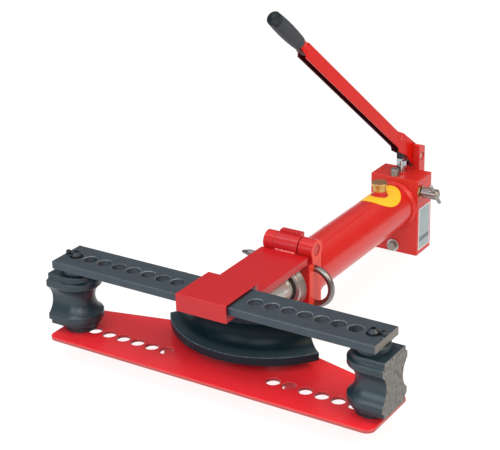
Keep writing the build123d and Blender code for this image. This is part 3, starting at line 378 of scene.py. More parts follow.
def sleeveEnds(tree, place, normal):
    barLow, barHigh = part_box("cross_bar")
    axes = addNode(tree, "ShaderNodeSeparateXYZ", {"Vector": place})
    away = addNode(tree, "ShaderNodeMath", {0: axes.outputs["X"]}, operation="ABSOLUTE")
    mask = addNode(
        tree,
        "ShaderNodeMath",
        {0: away.outputs[0], 1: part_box("bar_sleeve")[1].x - sleeveLip["skin"]},
        operation="GREATER_THAN",
    ).outputs[0]
    for name, low, high in (("Y", barLow.y, barHigh.y), ("Z", barLow.z, barHigh.z)):
        near = addNode(
            tree,
            "ShaderNodeMath",
            {0: axes.outputs[name], 1: (low + high) / 2, 2: (high - low) / 2 + sleeveLip["reach"]},
            operation="COMPARE",
        )
        mask = addNode(tree, "ShaderNodeMath", {0: mask, 1: near.outputs[0]}, operation="MULTIPLY").outputs[0]
    return mask


# Dark grey satin paint on drawn flat bar: lines along the bar, edges painted lighter as a painted highlight,
# pale rims round the holes as a painted highlight on their chamfers, and bare sawn ends. Drawn and sawn lines
# are coarser than real ones, so that they show.
crossBar = {
    "tones": ("#252F37", "#36434C"),
    "cloudSize": 22 * mm,
    "edgeRadius": 1.4 * mm,
    "edgeTone": "#8B9194",
    "edgeShare": 0.6,
    "lineSize": 1.6 * mm,
    "lineStretch": (0.03, 1.0, 1.0),
    "lineRelief": (0.25, 0.12 * mm),
    "roughness": (0.34, 0.52),
    "firstHole": 75 * mm,
    "pitch": 30 * mm,
    "holeRadius": 12 * mm,
    "rim": 0.8 * mm,
    "rimTone": "#7C8489",
    "rimPatches": (0.35, 0.6),
    "rimShare": 0.9,
    "endSkin": 0.4 * mm,
    "endTones": ("#5C5A58", "#7A7774"),
    "sawSize": 1.4 * mm,
    "sawStretch": (1.0, 1.0, 0.08),
}


def makeBarPaint():
    material, tree, place = startMaterial("satinBarPaint", {"IOR": resinIor, "Specular IOR Level": 0.4})
    low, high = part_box("cross_bar")
    rounded, nearEdge = softenEdges(tree, crossBar["edgeRadius"])
    stretch = addNode(tree, "ShaderNodeMapping", {"Vector": place, "Scale": crossBar["lineStretch"]})
    lines = addNode(
        tree,
        "ShaderNodeTexNoise",
        {"Vector": stretch.outputs[0], "Scale": 1 / crossBar["lineSize"], "Detail": 3.0},
    ).outputs[0]
    cloud, tone = driftTones(tree, place, crossBar["cloudSize"], 5.0, crossBar["tones"])
    # Edges painted lighter: a painted highlight
    edgeHighlight = addNode(tree, "ShaderNodeMath", {0: nearEdge, 1: crossBar["edgeShare"]}, operation="MULTIPLY")
    # distance from the nearest hole's middle
    axes = addNode(tree, "ShaderNodeSeparateXYZ", {"Vector": place})
    away = addNode(tree, "ShaderNodeMath", {0: axes.outputs["X"]}, operation="ABSOLUTE").outputs[0]
    pitch = crossBar["pitch"]
    start = addNode(
        tree, "ShaderNodeMath", {0: away, 1: crossBar["firstHole"] - 1.5 * pitch}, operation="SUBTRACT"
    )
    step = addNode(tree, "ShaderNodeMath", {0: start.outputs[0], 1: pitch}, operation="MODULO")
    along = addNode(tree, "ShaderNodeMath", {0: step.outputs[0], 1: pitch / 2}, operation="SUBTRACT")
    aside = addNode(
        tree, "ShaderNodeMath", {0: axes.outputs["Y"], 1: (low.y + high.y) / 2}, operation="SUBTRACT"
    )
    flat = addNode(tree, "ShaderNodeCombineXYZ", {"X": along.outputs[0], "Y": aside.outputs[0]})
    distance = addNode(tree, "ShaderNodeVectorMath", {0: flat.outputs[0]}, operation="LENGTH")
    # Patchy pale ring round each hole past the sleeve: a painted highlight on its chamfer
    halfRim = crossBar["rim"] / 2
    onRim = addNode(
        tree,
        "ShaderNodeMath",
        {0: distance.outputs["Value"], 1: crossBar["holeRadius"] + halfRim, 2: halfRim},
        operation="COMPARE",
    )
    fewest, fullest = crossBar["rimPatches"]
    patchy = addNode(
        tree,
        "ShaderNodeMapRange",
        {"Value": cloud, "From Min": fewest, "From Max": fullest, "To Max": crossBar["rimShare"]},
    )
    pastSleeve = addNode(
        tree, "ShaderNodeMath", {0: away, 1: crossBar["firstHole"] - pitch / 2}, operation="GREATER_THAN"
    )
    rimHighlight = addNode(
        tree, "ShaderNodeMath", {0: onRim.outputs[0], 1: patchy.outputs[0]}, operation="MULTIPLY"
    )
    rimHighlight = addNode(
        tree, "ShaderNodeMath", {0: rimHighlight.outputs[0], 1: pastSleeve.outputs[0]}, operation="MULTIPLY"
    )
    sawLines = addNode(tree, "ShaderNodeMapping", {"Vector": place, "Scale": crossBar["sawStretch"]})
    endTone = driftTones(tree, sawLines.outputs[0], crossBar["sawSize"], 3.0, crossBar["endTones"])[1]
    onEnd = addNode(
        tree, "ShaderNodeMath", {0: away, 1: high.x - crossBar["endSkin"]}, operation="GREATER_THAN"
    )
    tone = layCoats(tree, tone, [
        (edgeHighlight.outputs[0], crossBar["edgeTone"]),
        (rimHighlight.outputs[0], crossBar["rimTone"]),
        (onEnd.outputs[0], endTone),
    ])
    least, most = crossBar["roughness"]
    gloss = addNode(tree, "ShaderNodeMapRange", {"Value": lines, "To Min": least, "To Max": most})
    strength, depth = crossBar["lineRelief"]
    bump = addNode(
        tree,
        "ShaderNodeBump",
        {"Height": lines, "Strength": strength, "Distance": depth, "Normal": rounded},
    )
    return endMaterial(
        material, {"Base Color": tone, "Roughness": gloss.outputs[0], "Normal": bump.outputs[0]}
    )


# Sand-cast iron under slate paint: grainy skin, edges painted lighter as a painted highlight, and a ground,
# pitted grey outer face
casting = {
    "tones": ("#12242B", "#1D3139"),
    "cloudSize": 25 * mm,
    "edgeRadius": 1.4 * mm,
    "edgeTone": "#7C8A90",
    "edgeShare": 0.4,
    "grainSize": 2.5 * mm,
    "grainRelief": (0.28, 0.35 * mm),
    "flatSkin": 0.3 * mm,
    "flatTones": ("#585A5C", "#737472"),
    "blotchSize": 7 * mm,
    "blotches": (0.36, 0.58),
    "pitTone": "#2C2F31",
    "pitSpacing": 12 * mm,
    "pitEdge": (0.13, 0.22),  # from a pit's middle, in spacings
    "roughness": (0.34, 0.72),  # painted, ground
}


def makeCastPaint():
    material, tree, place = startMaterial(
        "paintedSandCasting", {"IOR": resinIor, "Specular IOR Level": 0.5}
    )
    rounded, nearEdge = softenEdges(tree, casting["edgeRadius"])
    grain = addNode(
        tree, "ShaderNodeTexNoise", {"Vector": place, "Scale": 1 / casting["grainSize"], "Detail": 4.0}
    )
    paint = driftTones(tree, place, casting["cloudSize"], 3.0, casting["tones"])[1]
    # Edges painted lighter: a painted highlight
    highlitEdge = addNode(tree, "ShaderNodeMath", {0: nearEdge, 1: casting["edgeShare"]}, operation="MULTIPLY")
    pits = addNode(
        tree,
        "ShaderNodeTexVoronoi",
        {"Vector": place, "Scale": 1 / casting["pitSpacing"], "Randomness": 1.0},
    )
    inner, outer = casting["pitEdge"]
    pitted = addNode(
        tree,
        "ShaderNodeMapRange",
        {"Value": pits.outputs["Distance"], "From Min": inner, "From Max": outer},
    )
    scale = addNode(
        tree, "ShaderNodeTexNoise", {"Vector": place, "Scale": 1 / casting["blotchSize"], "Detail": 4.0}
    )
    fewest, fullest = casting["blotches"]
    blotches = addNode(
        tree, "ShaderNodeMapRange", {"Value": scale.outputs[0], "From Min": fewest, "From Max": fullest}
    )
    dark, light = casting["flatTones"]
    ground = addNode(tree, "ShaderNodeMix", {0: blotches.outputs[0], 6: dark, 7: light}, data_type="RGBA")
    face = addNode(
        tree,
        "ShaderNodeMix",
        {0: pitted.outputs[0], 6: casting["pitTone"], 7: ground.outputs[2]},
        data_type="RGBA",
    )
    axes = addNode(tree, "ShaderNodeSeparateXYZ", {"Vector": place})
    outward = addNode(tree, "ShaderNodeMath", {0: axes.outputs["X"]}, operation="ABSOLUTE")
    flatPlace = max(abs(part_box("right_support")[1].x), abs(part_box("left_support")[0].x))
    onFlat = addNode(
        tree,
        "ShaderNodeMath",
        {0: outward.outputs[0], 1: flatPlace - casting["flatSkin"]},
        operation="GREATER_THAN",
    ).outputs[0]
    tone = layCoats(tree, paint, [(highlitEdge.outputs[0], casting["edgeTone"]), (onFlat, face.outputs[2])])
    painted, bare = casting["roughness"]
    rough = addNode(tree, "ShaderNodeMapRange", {"Value": onFlat, "To Min": painted, "To Max": bare})
    strength, depth = casting["grainRelief"]
    bump = addNode(
        tree,
        "ShaderNodeBump",
        {"Height": grain.outputs[0], "Strength": strength, "Distance": depth, "Normal": rounded},
    )
    return endMaterial(
        material, {"Base Color": tone, "Roughness": rough.outputs[0], "Normal": bump.outputs[0]}
    )


# Black stove enamel on a machined casting: deep teal-black in the groove, painted greyer towards the lips as
# painted light, greyer on the lips, and painted highlights along the rounded edge between them and the other
# edges
former = {
    "radius": 176 * mm,
    "tones": ("#08191F", "#0F2329"),
    "cloudSize": 45 * mm,
    "skinSize": 4 * mm,
    "skinRelief": (0.10, 0.2 * mm),
    "shoulder": (24 * mm, 31 * mm),  # height from the middle where the groove turns greyer
    "shoulderTone": "#38464C",
    "lipSkin": 0.4 * mm,
    "lipTone": "#1F262D",
    "highlitEdge": 1.6 * mm,  # width of the bright edge
    "highlitEdgeTone": "#6A787E",
    "highlitEdgePatches": (0.35, 0.6),
    "highlitEdgeShare": (0.15, 0.8),
    "edgeRadius": 1.2 * mm,
    "edgeTone": "#5E686C",
    "edgeShare": 0.3,
    "roughness": (0.26, 0.40),
}


def makeFormerEnamel():
    material, tree, place = startMaterial("blackStoveEnamel", {"IOR": resinIor, "Specular IOR Level": 0.1})
    rounded, nearEdge = softenEdges(tree, former["edgeRadius"])
    cloud, tone = driftTones(tree, place, former["cloudSize"], 3.0, former["tones"])
    skin = addNode(
        tree, "ShaderNodeTexNoise", {"Vector": place, "Scale": 1 / former["skinSize"], "Detail": 2.0}
    ).outputs[0]
    formerLow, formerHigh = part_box("bending_former")
    height = addNode(tree, "ShaderNodeSeparateXYZ", {"Vector": place}).outputs["Z"]
    offset = addNode(
        tree, "ShaderNodeMath", {0: height, 1: (formerLow.z + formerHigh.z) / 2}, operation="SUBTRACT"
    )
    aside = addNode(tree, "ShaderNodeMath", {0: offset.outputs[0]}, operation="ABSOLUTE")
    # Painted light: the groove turns greyer towards both lips
    lowest, highest = former["shoulder"]
    shoulder = addNode(
        tree, "ShaderNodeMapRange", {"Value": aside.outputs[0], "From Min": lowest, "From Max": highest}
    )
    bendCentre = formerLow.y + former["radius"]
    flat = addNode(
        tree, "ShaderNodeMapping", {"Vector": place, "Location": (0, -bendCentre, 0), "Scale": (1, 1, 0)}
    )
    reach = addNode(tree, "ShaderNodeVectorMath", {0: flat.outputs[0]}, operation="LENGTH").outputs["Value"]
    lipFrom = former["radius"] - former["lipSkin"]
    onLip = addNode(tree, "ShaderNodeMath", {0: reach, 1: lipFrom}, operation="GREATER_THAN")
    # A painted highlight along the rounded edge between groove and lip
    halfEdge = former["highlitEdge"] / 2
    onEdge = addNode(
        tree, "ShaderNodeMath", {0: reach, 1: lipFrom - halfEdge, 2: halfEdge}, operation="COMPARE"
    )
    fewest, fullest = former["highlitEdgePatches"]
    least, most = former["highlitEdgeShare"]
    highlitEdge = addNode(
        tree,
        "ShaderNodeMapRange",
        {"Value": skin, "From Min": fewest, "From Max": fullest, "To Min": least, "To Max": most},
    )
    bright = addNode(
        tree, "ShaderNodeMath", {0: onEdge.outputs[0], 1: highlitEdge.outputs[0]}, operation="MULTIPLY"
    )
    # Other edges painted lighter: a painted highlight
    edgeHighlight = addNode(tree, "ShaderNodeMath", {0: nearEdge, 1: former["edgeShare"]}, operation="MULTIPLY")
    tone = layCoats(tree, tone, [
        (shoulder.outputs[0], former["shoulderTone"]),
        (onLip.outputs[0], former["lipTone"]),
        (bright.outputs[0], former["highlitEdgeTone"]),
        (edgeHighlight.outputs[0], former["edgeTone"]),
    ])
    least, most = former["roughness"]
    gloss = addNode(tree, "ShaderNodeMapRange", {"Value": cloud, "To Min": least, "To Max": most})
    strength, depth = former["skinRelief"]
    bump = addNode(
        tree,
        "ShaderNodeBump",
        {"Height": skin, "Strength": strength, "Distance": depth, "Normal": rounded},
    )
    return endMaterial(
        material, {"Base Color": tone, "Roughness": gloss.outputs[0], "Normal": bump.outputs[0]}
    )


# Turned, ground or plated metal: rings round the turning axis blur the reflections across them. They are
# coarser than a lathe leaves them, so that they show. Above topFrom, where it is given, the metal takes
# another
# colour and roughness: (height, colour, roughness).
turning = {
    "edgeRadius": 0.5 * mm,
    "cloudSize": 18 * mm,
    "unevenness": 0.25,  # of the roughness, from ring to ring
    "ringRelief": (0.12, 0.05 * mm),
}


def makeTurnedMetal(name, dark, light, roughness, spacing, axis, metallic=1.0, topFrom=None):
    material, tree, place = startMaterial(name, {"Metallic": metallic})
    rounded = addNode(
        tree, "ShaderNodeBevel", {"Radius": turning["edgeRadius"]}, samples=edgeFinder["samples"]
    ).outputs[0]
    axes = addNode(tree, "ShaderNodeSeparateXYZ", {"Vector": place})
    stepped = addNode(tree, "ShaderNodeCombineXYZ", {"X": axes.outputs[axis]})
    rings = addNode(
        tree, "ShaderNodeTexNoise", {"Vector": stepped.outputs[0], "Scale": 1 / (spacing * mm), "Detail": 2.0}
    ).outputs[0]
    tone = driftTones(tree, place, turning["cloudSize"], 3.0, (dark, light))[1]
    least, most = (roughness * (1 + side * turning["unevenness"]) for side in (-1, 1))
    gloss = addNode(tree, "ShaderNodeMapRange", {"Value": rings, "To Min": least, "To Max": most}).outputs[0]
    if topFrom:
        height, color, topRoughness = topFrom
        onTop = addNode(
            tree, "ShaderNodeMath", {0: axes.outputs["Z"], 1: height}, operation="GREATER_THAN"
        ).outputs[0]
        tone = layCoats(tree, tone, [(onTop, color)])
        gloss = addNode(tree, "ShaderNodeMix", {0: onTop, 2: gloss, 3: topRoughness}).outputs[0]
    strength, depth = turning["ringRelief"]
    bump = addNode(
        tree,
        "ShaderNodeBump",
        {"Height": rings, "Strength": strength, "Distance": depth, "Normal": rounded},
    )
    return endMaterial(material, {"Base Color": tone, "Roughness": gloss, "Normal": bump.outputs[0]})


# Moulded nitrile rubber: matt and nearly black, with a fine grain
rubber = {
    "tones": ("#151617", "#1E2021"),
    "cloudSize": 20 * mm,
    "grainSize": 1.2 * mm,
    "grainRelief": (0.3, 0.15 * mm),
    "roughness": (0.54, 0.70),
}


def makeSealRubber():
    material, tree, place = startMaterial("nitrileRubber", {"IOR": resinIor})
    grain = addNode(
        tree, "ShaderNodeTexNoise", {"Vector": place, "Scale": 1 / rubber["grainSize"], "Detail": 3.0}
    ).outputs[0]
    tone = driftTones(tree, place, rubber["cloudSize"], 2.0, rubber["tones"])[1]
    least, most = rubber["roughness"]
    gloss = addNode(tree, "ShaderNodeMapRange", {"Value": grain, "To Min": least, "To Max": most})
    strength, depth = rubber["grainRelief"]
    bump = addNode(tree, "ShaderNodeBump", {"Height": grain, "Strength": strength, "Distance": depth})
    return endMaterial(
        material, {"Base Color": tone, "Roughness": gloss.outputs[0], "Normal": bump.outputs[0]}
    )


# Dipped vinyl grip: matt grey sleeve with a fine pebble, and a smooth, darker, glossier end cap
grip = {
    "tones": ("#2C3238", "#383E45"),
    "cloudSize": 20 * mm,
    "pebbleSize": 1.1 * mm,
    "pebbleRelief": (0.35, 0.2 * mm),
    "capLength": 13 * mm,
    "capTone": "#0C161B",
    "roughness": (0.58, 0.42),  # sleeve, cap
}


def makeGripVinyl():
    material, tree, place = startMaterial("dippedGripVinyl", {"IOR": resinIor, "Specular IOR Level": 0.25})
    points = [vertex.co for vertex in nodes["lever_grip"].data.vertices]
    middle = sum(points, Vector()) / len(points)
    offsets = [point - middle for point in points]
    # the sleeve's long direction, in the plane that the lever swings in
    slope = math.atan2(2 * sum(p.y * p.z for p in offsets), sum(p.y ** 2 - p.z ** 2 for p in offsets)) / 2
    along = Vector((0, math.cos(slope), math.sin(slope)))
    if along.z < 0:
        along.negate()
    capFrom = max(point.dot(along) for point in points) - grip["capLength"]
    reach = addNode(tree, "ShaderNodeVectorMath", {0: place, 1: along}, operation="DOT_PRODUCT")
    onCap = addNode(
        tree, "ShaderNodeMath", {0: reach.outputs["Value"], 1: capFrom}, operation="GREATER_THAN"
    ).outputs[0]
    pebble = addNode(
        tree, "ShaderNodeTexNoise", {"Vector": place, "Scale": 1 / grip["pebbleSize"], "Detail": 2.0}
    )
    sleeve = driftTones(tree, place, grip["cloudSize"], 2.0, grip["tones"])[1]
    tone = layCoats(tree, sleeve, [(onCap, grip["capTone"])])
    matt, glossy = grip["roughness"]
    gloss = addNode(tree, "ShaderNodeMapRange", {"Value": onCap, "To Min": matt, "To Max": glossy})
    strength, depth = grip["pebbleRelief"]
    bump = addNode(
        tree, "ShaderNodeBump", {"Height": pebble.outputs[0], "Strength": strength, "Distance": depth}
    )
    return endMaterial(
        material, {"Base Color": tone, "Roughness": gloss.outputs[0], "Normal": bump.outputs[0]}
    )


# Blank plate of anodised aluminium: brushed up and down, coarser than real so that it shows, with a pale
# rim, a darker band low down and a punched dot near each end
dataPlate = {
    "tones": ("#8C9CA2", "#AAB9BD"),
    "brushSize": 0.8 * mm,
    "brushStretch": (1.0, 1.0, 0.04),
    "band": (0.20, 0.30),  # shares of the height
    "bandTone": "#66747A",
    "rim": 2.0 * mm,
    "rimTone": "#DDE4E6",
    "dotRadius": 1.3 * mm,
    "dotInset": 5.0 * mm,
    "dotTone": "#3A4247",
    "roughness": (0.38, 0.52),
}


def makePlateAluminium():
    material, tree, place = startMaterial("anodisedAluminium", {"Metallic": 0.35})
    low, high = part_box("data_plate")
    centre, half = (low + high) / 2, (high - low) / 2
    stretch = addNode(tree, "ShaderNodeMapping", {"Vector": place, "Scale": dataPlate["brushStretch"]})
    brushed, tone = driftTones(tree, stretch.outputs[0], dataPlate["brushSize"], 2.0, dataPlate["tones"])
    axes = addNode(tree, "ShaderNodeSeparateXYZ", {"Vector": place})
    bandLow, bandHigh = (low.z + (high.z - low.z) * share for share in dataPlate["band"])
    onBand = addNode(
        tree,
        "ShaderNodeMath",
        {0: axes.outputs["Z"], 1: (bandLow + bandHigh) / 2, 2: (bandHigh - bandLow) / 2},
        operation="COMPARE",
    )
    depths = []
    for name, middle, reach in (("Y", centre.y, half.y), ("Z", centre.z, half.z)):
        offset = addNode(tree, "ShaderNodeMath", {0: axes.outputs[name], 1: middle}, operation="SUBTRACT")
        away = addNode(tree, "ShaderNodeMath", {0: offset.outputs[0]}, operation="ABSOLUTE")
        depths.append(addNode(tree, "ShaderNodeMath", {0: reach, 1: away.outputs[0]}, operation="SUBTRACT"))
    depth = addNode(
        tree, "ShaderNodeMath", {0: depths[0].outputs[0], 1: depths[1].outputs[0]}, operation="MINIMUM"
    )
    onRim = addNode(
        tree, "ShaderNodeMath", {0: depth.outputs[0], 1: dataPlate["rim"]}, operation="LESS_THAN"
    )
    coats = [(onBand.outputs[0], dataPlate["bandTone"]), (onRim.outputs[0], dataPlate["rimTone"])]
    for side in (-1, 1):
        dotPlace = Vector((centre.x, centre.y + side * (half.y - dataPlate["dotInset"]), centre.z))
        apart = addNode(tree, "ShaderNodeVectorMath", {0: place, 1: dotPlace}, operation="DISTANCE")
        onDot = addNode(
            tree,
            "ShaderNodeMath",
            {0: apart.outputs["Value"], 1: dataPlate["dotRadius"]},
            operation="LESS_THAN",
        )
        coats.append((onDot.outputs[0], dataPlate["dotTone"]))
    least, most = dataPlate["roughness"]
    gloss = addNode(tree, "ShaderNodeMapRange", {"Value": brushed, "To Min": least, "To Max": most})
    return endMaterial(
        material, {"Base Color": layCoats(tree, tone, coats), "Roughness": gloss.outputs[0]}
    )


# Yellow vinyl film: satin, and a little uneven where it stretches over the tube
labelVinyl = {"tones": ("#F2B820", "#FAC832"), "cloudSize": 14 * mm, "roughness": (0.34, 0.5)}


def makeLabelVinyl():
    material, tree, place = startMaterial("yellowLabelVinyl", {"IOR": resinIor, "Specular IOR Level": 0.35})
    cloud, tone = driftTones(tree, place, labelVinyl["cloudSize"], 3.0, labelVinyl["tones"])
    least, most = labelVinyl["roughness"]
    gloss = addNode(tree, "ShaderNodeMapRange", {"Value": cloud, "To Min": least, "To Max": most})
    return endMaterial(material, {"Base Color": tone, "Roughness": gloss.outputs[0]})


redEnamel = makeRedEnamel("redStoveEnamel")
turnedSteel = makeTurnedMetal("turnedSteel", "#C0BDB8", "#CECBC6", 0.32, 0.8, "Y", metallic=0.85)
# The wing's cut edge is painted paler, a painted highlight, and its hole walls darker, painted shade
wing = {"frontToRow": 59 * mm, "holeReach": 13 * mm, "endMargin": 5 * mm}
wingLow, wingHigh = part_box("lower_wing")
wingSides = {
    "row": wingLow.y + wing["frontToRow"],
    "holeReach": wing["holeReach"],
    "span": wingHigh.x - wing["endMargin"],
    "edge": "#AB4744",
    "hole": "#8C1019",
}
# Lengths from the top: painted dark on the plunger, painted shade between the lever's cheeks; dull on the cap
darkHead = {"plunger": 29 * mm, "cap": 0.8 * mm}
plungerHead = (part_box("plunger")[1].z - darkHead["plunger"], "#3A3C40", 0.40)
capTop = (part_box("filler_cap")[1].z - darkHead["cap"], "#B28A64", 0.50)
# Turned metals: darker and lighter tone, roughness, spacing of the rings in millimetres, turning axis
finishes = {
    redEnamel: ["upper_arm", "hinge_pin", "left_foot", "right_foot"],
    # The wing's red is a brighter copy of the frame's: painted light
    makeRedEnamel("redPlateEnamel", tones=("#DA2931", "#E42B33"), plateSides=wingSides): ["lower_wing"],
    # The sleeve's red is a slightly darker copy of the frame's: painted shade
    makeRedEnamel("redSleeveEnamel", tones=("#A8161C", "#B4191F"), paintedShadeMask=sleeveEnds): ["bar_sleeve"],
    makeRedEnamel("redTubeEnamel", gloss=0.5, tones=("#BD1D17", "#C9211B")): ["cylinder_jacket"],
    makeRedEnamel("redHeadEnamel", gloss=0.3, tones=("#B4191A", "#C01D1D"), cheekLitTone="#D8331A"): [
        "frame_head",
    ],
    makeRedEnamel("redPumpEnamel", gloss=0.3, tones=("#BE2823", "#CA2C27")): [
        "collar_ring", "pump_block", "lever_bracket", "cheek_rivet", "filler_neck", "plunger_gland",
    ],
    makeRedEnamel("redChannelEnamel", gloss=0.08, tones=("#BE130A", "#CA170B"), paintedShadeMask=leverInside): [
        "pump_lever",
    ],
    makeBarPaint(): ["cross_bar"],
    makeCastPaint(): [
        "left_support", "right_support", "left_lower_collar", "right_lower_collar",
        "left_upper_collar", "right_upper_collar",
    ],
    makeFormerEnamel(): ["bending_former"],
    makeTurnedMetal("hardChrome", "#DCE4E4", "#E8EEEE", 0.22, 0.6, "Y", metallic=0.65): ["ram"],
    makeTurnedMetal("chromedPlunger", "#A4ACB2", "#B8BFC4", 0.10, 0.6, "Z", topFrom=plungerHead): ["plunger"],
    turnedSteel: [
        "cylinder_nose", "piston", "piston_nut", "pressure_tube", "return_spring", "drain_washer",
    ],
    makeTurnedMetal("drawnSteel", "#7E7A78", "#94908E", 0.32, 1.2, "X"): ["fork_pin", "crank_pin"],
    makeTurnedMetal("paleZinc", "#C9C2BC", "#D6D0CA", 0.35, 0.8, "X", metallic=0.5): ["lever_pivot"],
    makeTurnedMetal("brightZinc", "#857E7A", "#99928E", 0.24, 0.8, "X", metallic=0.9): [
        "release_spindle", "tommy_bar", "bracket_bolts", "drain_bolt",
    ],
    makeTurnedMetal("steelPlug", "#84807C", "#96928E", 0.40, 0.7, "Z", metallic=0.85): [
        "top_plug", "foot_studs",
    ],
    makeTurnedMetal("blackOxide", "#2C3338", "#3A4248", 0.34, 0.7, "Z", metallic=0.6): [
        "left_support_pin", "right_support_pin", "keeper_studs",
    ],
    makeTurnedMetal("turnedBrass", "#C49C5A", "#D2AC68", 0.30, 0.7, "Z", topFrom=capTop): ["filler_cap"],
    makeTurnedMetal("brassGland", "#B4935A", "#C8AA6C", 0.30, 0.7, "X"): ["release_gland"],
    makeSealRubber(): ["ram_wiper", "piston_seal"],
    makeGripVinyl(): ["lever_grip"],
    makePlateAluminium(): ["data_plate"],
}
for material, members in finishes.items():
    for name in members:
        data = nodes[name].data
        data.materials.clear()
        data.materials.append(material)
unfinished = sorted(set(nodes) - {name for members in finishes.values() for name in members})
print("materials assigned; nodes left:", unfinished)


# Makes a finished mesh a piece of its own, riding on a body
def addPiece(name, mesh, material, body):
    if not mesh.materials:
        mesh.materials.append(material)
    piece = bpy.data.objects.new(name, mesh)
    bpy.context.scene.collection.objects.link(piece)
    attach(piece, body)
    return piece


neckLow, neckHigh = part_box("filler_neck")
neckY = (neckLow.y + neckHigh.y) / 2
tubeLow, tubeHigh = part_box("pressure_tube")
tube = {"radius": 44 * mm, "axis": (tubeLow.z + tubeHigh.z) / 2}


# A point on the oil tube: y along it, arc round it from the top, lift off its surface
def onTube(y, arc, lift):
    turn = arc / tube["radius"]
    reach = tube["radius"] + lift
    return Vector((math.sin(turn) * reach, y, tube["axis"] + math.cos(turn) * reach))


# Bare label round the filler: a thin film that follows the tube
fillerLabel = {
    "halfLength": 46.5 * mm,  # along the tube
    "halfWidth": 40.5 * mm,  # round the tube
    "setBack": 4.0 * mm,  # its middle lies this far behind the filler
    "hole": 16.5 * mm,  # radius, clear of the weld at the neck
    "lifts": (0.05 * mm, 0.35 * mm),  # under side and upper side
    "steps": 96,
    "rings": 10,
}


def addFillerLabel():
    form = bmesh.new()
    outward = [ring / fillerLabel["rings"] for ring in range(fillerLabel["rings"] + 1)]
    rows = []
    for lift, shares in zip(fillerLabel["lifts"], (outward[::-1], outward)):
        for share in shares:
            row = []
            for step in range(fillerLabel["steps"]):
                turn = math.tau * step / fillerLabel["steps"]
                hole = Vector((math.cos(turn), math.sin(turn))) * fillerLabel["hole"]
                rim = Vector((
                    fillerLabel["setBack"] + math.cos(turn) * fillerLabel["halfLength"],
                    math.sin(turn) * fillerLabel["halfWidth"],
                ))
                along, arc = hole.lerp(rim, share)
                row.append(form.verts.new(onTube(neckY + along, arc, lift)))
            rows.append(row)
    for row, following in zip(rows, rows[1:] + rows[:1]):
        for step in range(fillerLabel["steps"]):
            after = (step + 1) % fillerLabel["steps"]
            form.faces.new((row[step], row[after], following[after], following[step]))
    bmesh.ops.recalc_face_normals(form, faces=form.faces)
    mesh = bpy.data.meshes.new("filler_label")
    form.to_mesh(mesh)
    form.free()
    addPiece("filler_label", mesh, makeLabelVinyl(), "frame")


addFillerLabel()
print("label laid round the filler")

# Paler red on the arm's welds: a painted highlight on the ripples
weldHighlightEnamel = makeRedEnamel("redWeldEnamel", gloss=0.5, tones=("#C63C3C", "#E07670"))

# Weld beads: overlapping ripples, laid along the seams and painted over
weld = {
    "pitch": 2.9 * mm,  # from ripple to ripple
    "radius": 2.9 * mm,  # half the bead's width
    "ripple": 0.75,  # a ripple's length over its width
    "unevenness": 0.14,
    "seed": 7,
    "ringPoints": 48,
    "dropSegments": 8,
    "dropRings": 6,
    "neckGap": 0.6 * mm,
}
# Hinge knuckle of the upper arm, which the crease weld follows
hinge = {"radius": 18 * mm, "height": 169 * mm, "centreLeft": -24.6 * mm, "centreRight": 22.6 * mm}


# Starts a geometry tree with named inputs, after the path that it is given
def startTree(name, sockets):
    tree = bpy.data.node_groups.new(name, "GeometryNodeTree")
    for label, kind in {"Geometry": "Geometry", **sockets, "Material": "Material"}.items():
        tree.interface.new_socket(label, in_out="INPUT", socket_type="NodeSocket" + kind)
    tree.interface.new_socket("Geometry", in_out="OUTPUT", socket_type="NodeSocketGeometry")
    return tree, addNode(tree, "NodeGroupInput").outputs


# Ends a tree: no instances left, and the material set
def endTree(tree, shape, material):
    whole = addNode(tree, "GeometryNodeRealizeInstances", {"Geometry": shape})
    coated = addNode(tree, "GeometryNodeSetMaterial", {"Geometry": whole.outputs[0], "Material": material})
    addNode(tree, "NodeGroupOutput", {"Geometry": coated.outputs[0]})
    return tree


# Runs a tree on a path of points and edges, and gives the result as a plain mesh
def runTree(tree, name, values, points, edges):
    mesh = bpy.data.meshes.new(name + "Path")
    mesh.from_pydata(points, edges, [])
    path = bpy.data.objects.new(name + "Path", mesh)
    bpy.context.scene.collection.objects.link(path)
    modifier = path.modifiers.new(tree.name, "NODES")
    modifier.node_group = tree
    for item in tree.interface.items_tree:
        if item.in_out == "INPUT" and item.name in values:
            modifier[item.identifier] = values[item.name]
    evaluated = path.evaluated_get(bpy.context.evaluated_depsgraph_get())
    shape = bpy.data.meshes.new_from_object(evaluated)
    shape.name = name
    bpy.data.objects.remove(path)
    return shape


